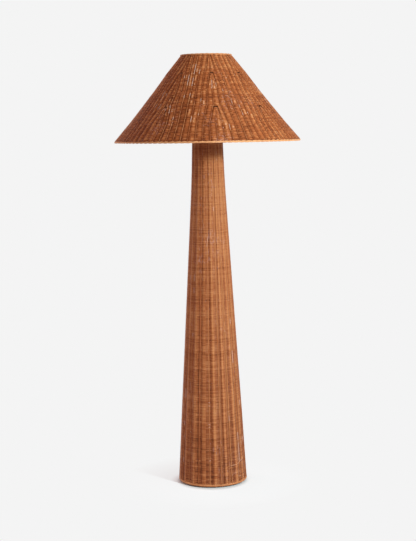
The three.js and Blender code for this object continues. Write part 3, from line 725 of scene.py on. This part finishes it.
def bent_rod(points, radius, resolution):
    """A round wire along a smooth line through the points."""
    bpy.ops.object.select_all(action="DESELECT")
    bpy.ops.curve.primitive_bezier_curve_add(location=(0, 0, 0))
    curve = bpy.context.object.data
    line = curve.splines[0]
    line.bezier_points.add(len(points) - len(line.bezier_points))
    for knot, point in zip(line.bezier_points, points):
        knot.co = point
        knot.handle_left_type = "AUTO"
        knot.handle_right_type = "AUTO"
    curve.dimensions = "3D"
    curve.resolution_u = resolution
    curve.bevel_depth = radius
    curve.bevel_resolution = 3
    curve.use_fill_caps = True
    bpy.ops.object.convert(target="MESH")
    bpy.ops.object.mode_set(mode="EDIT")
    close_up(40)
    return bpy.context.object


def joined(pieces):
    select_only(*pieces)
    bpy.ops.object.join()
    return bpy.context.object


def put(piece, place, rotation=(0, 0, 0)):
    """Turns and moves the selected piece, and keeps both in its mesh."""
    piece.location = place
    piece.rotation_euler = rotation
    bpy.ops.object.transform_apply()


def mm(profile, foot=0.0):
    """Radius and height in metres of a profile in millimetres, with heights from a foot that is in metres."""
    return [(r * MM, foot + z * MM) for r, z in profile]


def middle(box):
    return (box[0] + box[1]) / 2


def shade_frame(wire):
    for i in range(SHADE_PANELS):
        points = []
        for share in np.linspace(0.008, 0.992, 9):
            r, z = on_wall(share, RIB_LIFT)
            points.append(polar(r, seam_angle(i), z))
        rib = bent_rod(points, 0.0015, 4)
        name = "shade_rib_%s%d"
        finish(rib, name % ("wire_", i + 1), "shade", "frame_wire", wire, name % ("", i + 1))
    for name in ("shade_top_hoop", "shade_foot_hoop"):
        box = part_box(name)
        bpy.ops.mesh.primitive_torus_add(
            location=(0, 0, middle(box).z), major_segments=128, minor_segments=10,
            major_radius=box[1].x - 0.002, minor_radius=0.002,
        )
        bpy.ops.object.transform_apply()
        bpy.ops.object.shade_smooth()
        finish(bpy.context.object, name + "_wire", "shade", "frame_wire", wire, name)


def spider(wire):
    """A hub disc with three arms that rise to the shade's top hoop."""
    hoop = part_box("shade_top_hoop")
    rise = middle(hoop).z
    reach = hoop[1].x - 0.004
    disc = [(3.3, 0), (12.4, 0), (13, 0.6), (13, 1.9), (12.4, 2.5), (3.3, 2.5), (3.3, 0)]
    parts = [spun(mm(disc, HUB_FOOT))]
    arm = [(0.011, 1.44975), (0.030, 1.4499), (0.046, 1.4521), (0.060, 1.4589)]
    arm += [(reach - 0.004, rise), (reach, rise)]
    for i in range(3):
        points = [polar(r, FRONT + i * TURN / 3, z) for r, z in arm]
        parts.append(bent_rod(points, 0.0018, 5))
    finish(joined(parts), "spider_arms_and_hub", "shade", "frame_wire", wire, "spider")


def harp(brass):
    """A wire loop with a threaded stud at its crown. Half of the loop is given and mirrored."""
    low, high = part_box("harp")
    crown = high.z - 0.0138
    half = [(29.2, 0), (29.2, 22), (29.6, 32), (40, 58.8), (52.8, 86.8), (58, 110.8), (55.3, 141.8)]
    half = mm(half + [(44, 170.3), (25, 187.8)], low.z)
    path = [(-x, 0, z) for x, z in half] + [(0, 0, crown)] + [(x, 0, z) for x, z in reversed(half)]
    wire = bent_rod(path, 0.002, 8)
    shape = [(0, 0), (6.4, 0), (7, 0.6), (7, 1.4), (6.4, 2), (3, 2)]
    for i in range(5):
        shape += [(3, 6.8 + 0.8 * i), (2.7, 7.2 + 0.8 * i)]
    shape += [(3, 10.8), (2.6, 13.8), (0, 13.8)]
    stud = spun(mm(shape, crown))
    finish(joined([wire, stud]), "harp_loop", "harp", "brass", brass, "harp")


def harp_sleeves(brass):
    shape = [(3.4, 0), (4.2, 0), (4.4, 0.4), (4.4, 1.8), (4.1, 2.1), (4.1, 11), (4.4, 11.3), (4.4, 12.6)]
    shape += [(4.2, 13), (3.4, 13), (3.4, 0)]
    for name in ("sleeve_left", "sleeve_right"):
        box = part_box(name)
        tube = spun(mm(shape), steps=32)
        put(tube, (middle(box).x, 0, box[0].z))
        finish(tube, name + "_tube", name, "brass", brass, name)


def socket_cup(brass):
    shape = [(5.3, 0), (7.6, 0), (8, 0.4), (8, 6.4), (9.2, 8.2), (12.96, 9.9), (16.6, 13), (17.7, 14.8)]
    shape += [(18, 16), (18, 17.4), (17.6, 17.8), (18, 18.2), (18, 20.4)]
    shape += [(17.6, 20.8), (18, 21.2), (18, 22), (17, 22)]
    shape += [(17, 15.5), (12, 10.9), (8, 8.5), (5.3, 8.5), (5.3, 0)]
    cup = spun(mm(shape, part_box("socket_cup")[0].z), steps=64)
    finish(cup, "socket_cup_turned", "stand", "brass", brass, "socket_cup")


def switch_key(phenolic):
    """A turned key on its stem. Every third line of its grip is drawn in as a groove."""
    grip, steps = 26.8 * MM, 36
    shape = [(0, 6), (1.8, 6), (1.8, 24), (4.4, 24), (5, 24.6), (5, 26), (4.6, 26.6), (4.7, 27.4)]
    shape += [(4.3, 33.6), (3.9, 34.7), (3.2, 35), (0, 35.2)]
    knob = spun(mm(shape), steps=steps)
    for corner in knob.data.vertices:
        line = round(math.atan2(corner.co.y, corner.co.x) / TURN * steps)
        if corner.co.z > grip and line % 3 == 0:
            corner.co.x *= 0.9
            corner.co.y *= 0.9
    put(knob, (0, 0, middle(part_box("switch_knob")).z), (TURN / 4, 0, 0))
    finish(knob, "switch_key", "switch", "phenolic", phenolic, "switch_knob")


def bulb(glass_look, metal_look):
    """A pear of opal glass, with its outline in shares of width and height, and a cap with five threads."""
    low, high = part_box("bulb_glass")
    pear = [(0.53, 0), (0.54, 0.06), (0.56, 0.13), (0.61, 0.2), (0.68, 0.27), (0.77, 0.335), (0.86, 0.4)]
    pear += [(0.93, 0.465), (0.98, 0.54), (1, 0.62), (0.985, 0.7), (0.93, 0.78), (0.84, 0.855), (0.7, 0.92)]
    pear += [(0.5, 0.967), (0.26, 0.992), (0, 1)]
    shape = [(r * high.x * 0.998, low.z + share * (high.z - low.z)) for r, share in pear]
    finish(spun(shape + [(0, low.z)]), "bulb_envelope", "bulb", "opal_glass", glass_look, "bulb_glass")
    low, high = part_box("bulb_cap")
    wide = high.x
    shape = [(0, low.z), (0.0045, low.z), (0.0045, low.z + 0.0011), (wide * 0.9, low.z + 0.0045)]
    for i in range(5):
        z = low.z + 0.0055 + i * 0.0033
        shape += [(wide * 0.93, z), (wide, z + 0.0011), (wide, z + 0.0017), (wide * 0.93, z + 0.0028)]
    shape += [(wide * 0.96, high.z - 0.002), (wide, high.z - 0.001), (wide * 0.97, high.z), (0, high.z)]
    finish(spun(shape), "bulb_screw_cap", "bulb", "cap_metal", metal_look, "bulb_cap")


def finial(brass):
    shape = [(0, 9), (3.3, 9), (3.3, 0), (8.1, 0), (8.5, 0.4), (8.5, 2.3), (8, 3), (5.2, 4.1), (4.3, 5.7)]
    shape += [(4.4, 7.1), (5.6, 8.7), (7.2, 10.3), (8.1, 12.3), (8.3, 14.3), (7.9, 16.4), (6.7, 18.5)]
    shape += [(4.9, 20.3), (3.2, 21.2), (1.6, 21.8), (0, 22)]
    knob = spun(mm(shape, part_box("finial")[0].z))
    finish(knob, "finial_knob", "finial", "brass", brass, "finial")


def cap_and_neck(brass):
    shape = [(5.3, 0), (23.6, 0), (24, 0.4), (24, 1.6), (23.5, 2.1), (21.5, 2.6), (18, 3.5), (14.9, 4.8)]
    shape += [(12, 6.5), (9.4, 8.5), (8.3, 9), (5.3, 9), (5.3, 0)]
    cap = spun(mm(shape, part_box("top_cap")[0].z), steps=64)
    finish(cap, "column_cap", "stand", "brass", brass, "top_cap")
    shape = [(5.3, 0), (7.6, 0), (8, 0.4), (8, 2), (7.2, 2.8), (6.8, 4.4), (6.8, 9.6), (7.2, 11.2), (8, 12)]
    shape += [(8, 13.6), (7.6, 14), (5.3, 14), (5.3, 0)]
    neck = spun(mm(shape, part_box("neck")[0].z))
    finish(neck, "column_neck", "stand", "brass", brass, "neck")


def glides(rubber):
    shape = [(0, 3.2), (3.6, 3.2), (4, 2.8), (4, 0.4), (4.4, 0), (9.6, 0), (10.3, 0.5), (12, 7.2)]
    shape += [(11.6, 7.7), (0, 7.7)]
    for i in range(4):
        centre = middle(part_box("glide_%d" % (i + 1)))
        foot = spun(mm(shape), steps=32)
        put(foot, (centre.x, centre.y, 0))
        finish(foot, "glide_pad_%d" % (i + 1), "stand", "rubber", rubber, "glide_%d" % (i + 1))


def cord_inlet(rubber):
    """A bush whose profile runs along y, from inside the column to its rim outside."""
    low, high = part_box("cord_bush")
    inner, face, end = low.y, high.y - 0.0025, high.y
    shape = [(0.004, inner), (0.0062, inner), (0.0065, inner + 0.0004), (0.0065, face), (0.0093, face)]
    shape += [(0.0095, face + 0.0004), (0.0092, end - 0.0006), (0.0085, end), (0.0052, end)]
    shape += [(0.0042, end - 0.0008), (0.004, end - 0.002), (0.004, inner)]
    ring = spun(shape, steps=36)
    put(ring, (0, 0, (low.z + high.z) / 2), (-TURN / 4, 0, 0))
    finish(ring, "cord_inlet_bush", "stand", "rubber", rubber, "cord_bush")


# Materials

RATTAN_DARK = (0.150, 0.038, 0.0110)
RATTAN_MIDDLE = (0.380, 0.120, 0.0360)
RATTAN_LIGHT = (0.575, 0.278, 0.108)
RATTAN_PALE = (0.60, 0.40, 0.30)
RATTAN_BLEACHED = (0.68, 0.42, 0.20)
# Colour of the painted sheen specks
RATTAN_SHEEN = (0.52, 0.34, 0.28)
BUMP_DEPTH = 0.0003
BLACK = (0, 0, 0)
WHITE = (1, 1, 1)


def feed(tree, socket, value):
    """Sets a number, a vector or a colour on a socket, or links another socket to it."""
    if isinstance(value, (int, float)):
        socket.default_value = value
    elif isinstance(value, tuple):
        socket.default_value = value if socket.type == "VECTOR" else (*value, 1)
    else:
        tree.links.new(value, socket)


def add(tree, kind, *feeds, **settings):
    """A new shader node with its settings, and with its first sockets fed."""
    node = tree.nodes.new("ShaderNode" + kind)
    for key, value in settings.items():
        setattr(node, key, value)
    for socket, value in zip(node.inputs, feeds):
        feed(tree, socket, value)
    return node


def feed_named(tree, node, **values):
    for label, value in values.items():
        feed(tree, node.inputs[label.replace("_", " ")], value)
    return node.outputs


def math_node(tree, operation, a, b, clamp=False):
    return add(tree, "Math", a, b, operation=operation, use_clamp=clamp).outputs[0]


def plus(tree, a, b):
    return math_node(tree, "ADD", a, b)


def times(tree, a, b, clamp=False):
    return math_node(tree, "MULTIPLY", a, b, clamp)


def object_place(tree):
    return add(tree, "TexCoord").outputs["Object"]


def noise(tree, place, detail, scale=1, roughness=0.5):
    node = add(tree, "TexNoise", place)
    return feed_named(tree, node, Scale=scale, Detail=detail, Roughness=roughness)[0]


def stretched_noise(tree, place, stretch, detail, roughness=0.55):
    sized = add(tree, "VectorMath", place, stretch, operation="MULTIPLY")
    return noise(tree, sized.outputs[0], detail, roughness=roughness)


def open_group(name, **inputs):
    """A node group with its inputs, which are vectors or numbers, and the place on the object."""
    group = bpy.data.node_groups.new(name, "ShaderNodeTree")
    for label, value in inputs.items():
        kind = "NodeSocketVector" if isinstance(value, tuple) else "NodeSocketFloat"
        made = group.interface.new_socket(name=label.replace("_", " "), in_out="INPUT", socket_type=kind)
        made.default_value = value
    return group, group.nodes.new("NodeGroupInput").outputs, object_place(group)


def closed_group(group, **results):
    for label in results:
        group.interface.new_socket(name=label, in_out="OUTPUT", socket_type="NodeSocketFloat")
    end = group.nodes.new("NodeGroupOutput")
    for label, result in results.items():
        group.links.new(result, end.inputs[label])
    return group


def rattan_fibre():
    """Fine fibres along a strand, slower patches of colour, and specks of painted sheen."""
    group, given, place = open_group("rattan_fibre", Stretch=(60, 60, 1600), Patch_stretch=(30, 30, 10))
    fibres = stretched_noise(group, place, given["Stretch"], 3, 0.6)
    patches = stretched_noise(group, place, given["Patch stretch"], 3)
    sheen_specks = stretched_noise(group, place, (230, 230, 60), 2)
    where = stretched_noise(group, place, (9, 9, 6), 2)
    sheen_specks = math_node(group, "SUBTRACT", plus(group, sheen_specks, times(group, where, 0.7)), 1.0)
    return closed_group(group, Fibres=fibres, Patches=patches, Dry=times(group, sheen_specks, 8, clamp=True))


def surface_wear():
    """Tarnish patches, fine scratches and a mottled grain for metal, paint, rubber and moulded parts."""
    group, given, place = open_group("surface_wear", Patch_size=60, Grain_size=900)
    patches = noise(group, place, 4, given["Patch size"])
    grain = noise(group, place, 4, given["Grain size"])
    scratches = stretched_noise(group, place, (2600, 2600, 130), 2)
    return closed_group(group, Patches=patches, Grain=grain, Scratches=scratches)


def wood_grain():
    """Rings along the grain, and the fine pores between them."""
    group, given, place = open_group("wood_grain", Stretch=(20, 220, 220))
    grain = stretched_noise(group, place, given["Stretch"], 4)
    rings = math_node(group, "FRACT", times(group, grain, 7), 0)
    soft = plus(group, times(group, rings, 0.35), times(group, grain, 0.65))
    pores = stretched_noise(group, place, (180, 2400, 2400), 2)
    return closed_group(group, Grain=soft, Pores=pores)


FIBRE = rattan_fibre()
WEAR = surface_wear()
WOOD = wood_grain()


def new_material(name):
    material = bpy.data.materials.new(name)
    material.use_nodes = True
    tree = material.node_tree
    return material, tree, tree.nodes["Principled BSDF"]


def use_group(tree, group, **values):
    return feed_named(tree, add(tree, "Group", node_tree=group), **values)


def colour_ramp(tree, factor, stops):
    ramp = add(tree, "ValToRGB", factor)
    points = ramp.color_ramp.elements
    while len(points) < len(stops):
        points.new(0.5)
    for point, (place, colour) in zip(points, stops):
        point.position = place
        point.color = (*colour, 1)
    return ramp.outputs[0]


def mixed(tree, factor, a, b, blend="MIX"):
    """A mix of two colours, which are inputs 6 and 7 and output 2 of the node."""
    node = add(tree, "Mix", factor, data_type="RGBA", blend_type=blend)
    feed(tree, node.inputs[6], a)
    feed(tree, node.inputs[7], b)
    return node.outputs[2]


def ranged(tree, value, low, high):
    """Value from 0 to 1 carried into a range from low to high."""
    return plus(tree, times(tree, value, high - low), low)


def coat(tree, shader, colour, rough, height, strength):
    """Gives the shader its colour, its roughness and a bump."""
    bump = feed_named(tree, add(tree, "Bump"), Strength=strength, Distance=BUMP_DEPTH, Height=height)[0]
    feed_named(tree, shader, Base_Color=colour, Roughness=rough, Normal=bump)


def strand_value(tree, name):
    return add(tree, "Attribute", attribute_name=name).outputs["Fac"]


def rattan(name, stretch, shift, dark, bleach=0.0, sheen_specks=0.45, shade_tint=(1.12, 0.95, 1.02), gloss=0.14):
    """Rattan that takes its tone, and its painted shade with dirt, from the strands' own values, with fibres
    along the strand.

    Shift moves all the tones. Dark and the tint are what the painted shade and dirt do to the colour, and
    bleach and painted sheen mix in their pale colours.
    """
    material, tree, shader = new_material(name)
    fibre = use_group(tree, FIBRE, Stretch=stretch)
    shade_and_dirt = strand_value(tree, "shade_and_dirt")
    tone = plus(tree, strand_value(tree, "tone"), shift)
    tone = plus(tree, tone, ranged(tree, fibre["Patches"], -0.17, 0.17))
    tone = plus(tree, tone, ranged(tree, fibre["Fibres"], -0.16, 0.16))
    colour = colour_ramp(tree, tone, [
        (0, RATTAN_DARK), (0.5, RATTAN_MIDDLE), (0.95, RATTAN_LIGHT), (1, RATTAN_PALE),
    ])
    colour = mixed(tree, bleach, colour, RATTAN_BLEACHED)
    # Painted shade and dirt: the strands' value darkens the colour and tints it redder
    darkening = ranged(tree, shade_and_dirt, 1, dark)
    colour = mixed(tree, 1, colour, add(tree, "CombineColor", darkening, darkening, darkening).outputs[0], "MULTIPLY")
    colour = mixed(tree, 1, colour, mixed(tree, shade_and_dirt, WHITE, shade_tint), "MULTIPLY")
    # Painted sheen: pale specks mixed into the colour
    colour = mixed(tree, times(tree, fibre["Dry"], sheen_specks), colour, RATTAN_SHEEN)
    shader.inputs["Specular IOR Level"].default_value = gloss
    coat(tree, shader, colour, ranged(tree, fibre["Fibres"], 0.34, 0.62), fibre["Fibres"], 0.25)
    return material


def worn(name, dark, light, rough, metallic=1.0, patches=60, grain=900, bump=0.08):
    """Metal, paint, rubber or a moulded part, with its two colours in patches and a range of roughness."""
    material, tree, shader = new_material(name)
    wear = use_group(tree, WEAR, Patch_size=patches, Grain_size=grain)
    colour = colour_ramp(tree, wear["Patches"], [(0.3, dark), (0.68, light)])
    shader.inputs["Metallic"].default_value = metallic
    coat(tree, shader, colour, ranged(tree, wear["Scratches"], *rough), wear["Grain"], bump)
    return material


def timber(name, stretch, dark, light, rough):
    material, tree, shader = new_material(name)
    wood = use_group(tree, WOOD, Stretch=stretch)
    colour = colour_ramp(tree, wood["Grain"], [(0.2, dark), (0.7, light)])
    coat(tree, shader, colour, ranged(tree, wood["Pores"], *rough), wood["Pores"], 0.2)
    return material


def dress_cad_nodes(looks):
    """Each node takes the first look whose words its name starts with."""
    for name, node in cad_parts.items():
        material = next(look for words, look in looks if name.startswith(words))
        for slot in node.material_slots:
            slot.material = material


# Set: camera angles are in degrees, and the floor's shadow is kept round a middle near the foot

CAMERA_PLACE = (-0.0054, -4.378, 1.2294)
CAMERA_LENS = 84.84
CAMERA_DOWN = 6.41
CAMERA_LEAN = 0.95
PAPER = 0.905
FLOOR_SIZE = 24
FLOOR_DROP = 0.0004
FLOOR_LIT = (0.77, 0.695, 0.71)
FLOOR_SEEN = (0.70, 0.815, 0.835)
SHADOW_MIDDLE = (-0.001, -0.016, 0)
SHADOW_LIFT = 0.28
FILL = 0.56
FILL_TINT = (1, 0.74, 0.75)
LIGHT_DISTANCE = 2.6
LIGHT_AIM = Vector((0, 0, 1.0))


def set_up_camera():
    camera = in_scene("camera", bpy.data.cameras.new("camera"))
    camera.data.lens = CAMERA_LENS
    camera.data.sensor_width = 36
    pitch = Matrix.Rotation(math.radians(90 - CAMERA_DOWN), 4, "X")
    roll = Matrix.Rotation(math.radians(-CAMERA_LEAN), 4, "Z")
    camera.matrix_world = Matrix.Translation(CAMERA_PLACE) @ pitch @ roll
    bpy.context.scene.camera = camera


def seen_rays(tree):
    """1 where the camera sees the surface itself or mirrored or through glass, and 0 where it only lights."""
    path = add(tree, "LightPath").outputs
    seen = math_node(tree, "MAXIMUM", path["Is Camera Ray"], path["Is Transmission Ray"])
    return math_node(tree, "MAXIMUM", seen, path["Is Glossy Ray"])


def paper_floor():
    """Paper that is lit near the foot, so that it keeps the shadow, and plain and bright further off."""
    material, tree, shader = new_material("paper_floor")
    tree.nodes.remove(shader)
    seen = seen_rays(tree)
    away = add(tree, "VectorMath", object_place(tree), SHADOW_MIDDLE, operation="DISTANCE").outputs["Value"]
    clear = colour_ramp(tree, away, [(0.112, BLACK), (0.128, WHITE)])
    far = colour_ramp(tree, away, [
        (0.118, BLACK), (0.126, (0.14, 0.14, 0.14)), (0.150, (0.66, 0.66, 0.66)), (0.34, WHITE),
    ])
    paper = (PAPER, PAPER, PAPER)
    lit = add(tree, "BsdfDiffuse", mixed(tree, seen, FLOOR_LIT, FLOOR_SEEN))
    lift = add(tree, "Emission", paper, times(tree, times(tree, clear, seen), SHADOW_LIFT))
    near = add(tree, "AddShader", lit.outputs[0], lift.outputs[0])
    glow = add(tree, "Emission", paper)
    mix = add(tree, "MixShader", times(tree, far, seen), near.outputs[0], glow.outputs[0])
    tree.links.new(mix.outputs[0], tree.nodes["Material Output"].inputs["Surface"])
    return material


def set_up_floor():
    bpy.ops.mesh.primitive_plane_add(size=FLOOR_SIZE, location=(0, 0, -FLOOR_DROP))
    floor = bpy.context.object
    floor.name = "floor"
    floor.data.materials.append(paper_floor())
    floor.select_set(False)


def set_up_world():
    world = bpy.data.worlds.new("studio")
    bpy.context.scene.world = world
    world.use_nodes = True
    tree = world.node_tree
    back = tree.nodes["Background"]
    seen = seen_rays(tree)
    tree.links.new(ranged(tree, seen, FILL, PAPER), back.inputs["Strength"])
    tree.links.new(mixed(tree, seen, FILL_TINT, WHITE), back.inputs["Color"])


def set_up_light(name, azimuth, height, power, size, colour):
    light = bpy.data.lights.new(name, "AREA")
    light.energy = power
    light.shape = "DISK"
    light.size = size
    light.color = colour
    lamp = in_scene(name, light)
    turn = math.radians(azimuth)
    lamp.location = (LIGHT_DISTANCE * math.sin(turn), -LIGHT_DISTANCE * math.cos(turn), height)
    lamp.rotation_euler = (LIGHT_AIM - lamp.location).to_track_quat("-Z", "Y").to_euler()


weave_look = rattan("woven_rattan", (60, 60, 1500), 0.12, 0.43, bleach=0.07)
shade_look = rattan(
    "woven_rattan_shade", (60, 60, 1500), -0.07, 0.42, bleach=0.02, shade_tint=(1.12, 0.985, 0.90), gloss=0.05,
)
stake_look = rattan("rattan_stakes", (1500, 1500, 50), 0.0, 0.5)
border_look = rattan("rattan_border", (300, 300, 900), -0.02, 1, bleach=0.26, sheen_specks=0.15)
rim_look = rattan("rattan_rim", (300, 300, 900), 0.14, 1, bleach=0.45, sheen_specks=0.15)
brass_look = worn("antique_brass", (0.30, 0.17, 0.05), (0.52, 0.34, 0.12), (0.22, 0.42))
steel_look = worn("zinc_plated_steel", (0.42, 0.42, 0.40), (0.62, 0.62, 0.60), (0.28, 0.48))
cap_look = worn("rolled_aluminium", (0.52, 0.52, 0.53), (0.72, 0.72, 0.73), (0.25, 0.42))
wire_look = worn("painted_wire", (0.028, 0.026, 0.024), (0.05, 0.046, 0.042), (0.38, 0.55), 0, 90, 1400, 0.15)
iron_look = worn("cast_iron", (0.018, 0.018, 0.02), (0.045, 0.044, 0.045), (0.6, 0.85), 0.4, 40, 700, 0.5)
rubber_look = worn("moulded_rubber", (0.01, 0.01, 0.011), (0.022, 0.022, 0.023), (0.7, 0.9), 0, 50, 1200, 0.2)
phenolic_look = worn("phenolic", (0.012, 0.009, 0.008), (0.026, 0.018, 0.014), (0.3, 0.45), 0, 70, 1500, 0.05)
card_look = worn("insulating_card", (0.26, 0.17, 0.09), (0.36, 0.25, 0.14), (0.8, 0.95), 0, 60, 800, 0.2)
opal_look = worn("opal_glass", (0.82, 0.80, 0.74), (0.90, 0.885, 0.84), (0.16, 0.24), 0, 25, 200, 0.01)
plywood_look = timber("plywood", (14, 170, 170), (0.40, 0.25, 0.12), (0.60, 0.42, 0.24), (0.6, 0.8))
dark_wood_look = timber(
    "stained_wood", (18, 200, 200), (0.03, 0.014, 0.008), (0.085, 0.04, 0.022), (0.35, 0.55),
)

dress_cad_nodes([
    (("column_rib", "column_hoop", "shade_rib", "shade_top_hoop", "shade_foot_hoop", "spider"), wire_look),
    ("base_board", plywood_look), ("base_weight", iron_look), ("top_disc", dark_wood_look),
    (("weight_nut", "base_", "lamp_pipe", "top_washer", "top_nut"), steel_look),
    ("socket_liner", card_look), (("socket_body", "switch"), phenolic_look),
    (("glide", "cord_bush"), rubber_look), ("bulb_glass", opal_look), ("bulb_cap", cap_look),
    ("", brass_look),
])

column_joints = column_weave(weave_look)
column_stakes(stake_look)
column_cut_ends(column_joints, stake_look)
loose_weaver(stake_look)
rolled_border(
    "column_foot_border", "column_foot_binding", "stand", border_look,
    radius=0.1160, height=0.0075, strand=0.0029, offset=0.0013, lays=9, flatten=0.8,
)
rolled_border(
    "column_top_border", "column_top_binding", "stand", border_look,
    radius=column_radius(COLUMN_HEIGHT) - 0.0036, height=1.2105, strand=0.0021, offset=0.0022, lays=6,
    flatten=0.8,
)
shade_joints = shade_weave(shade_look)
shade_stakes(stake_look)
shade_cut_ends(shade_joints, stake_look)
rolled_border(
    "shade_foot_border", "shade_foot_binding", "shade", rim_look,
    radius=0.3142, height=1.1830, strand=0.0017, offset=0.0018, lays=34,
)
rolled_border(
    "shade_top_border", "shade_top_binding", "shade", border_look,
    radius=0.0853, height=1.4720, strand=0.0014, offset=0.0015, lays=10,
)
shade_frame(wire_look)
spider(wire_look)
harp(brass_look)
harp_sleeves(brass_look)
socket_cup(brass_look)
switch_key(phenolic_look)
bulb(opal_look, cap_look)
finial(brass_look)
cap_and_neck(brass_look)
glides(rubber_look)
cord_inlet(rubber_look)

set_up_camera()
set_up_floor()
set_up_world()
set_up_light("key", 42, 1.67, 82, 0.28, (0.935, 1.0, 0.985))
set_up_light("side", -122, 1.8, 18, 1.2, (1.0, 0.66, 0.59))

scene = bpy.context.scene
scene.view_settings.view_transform = "Standard"
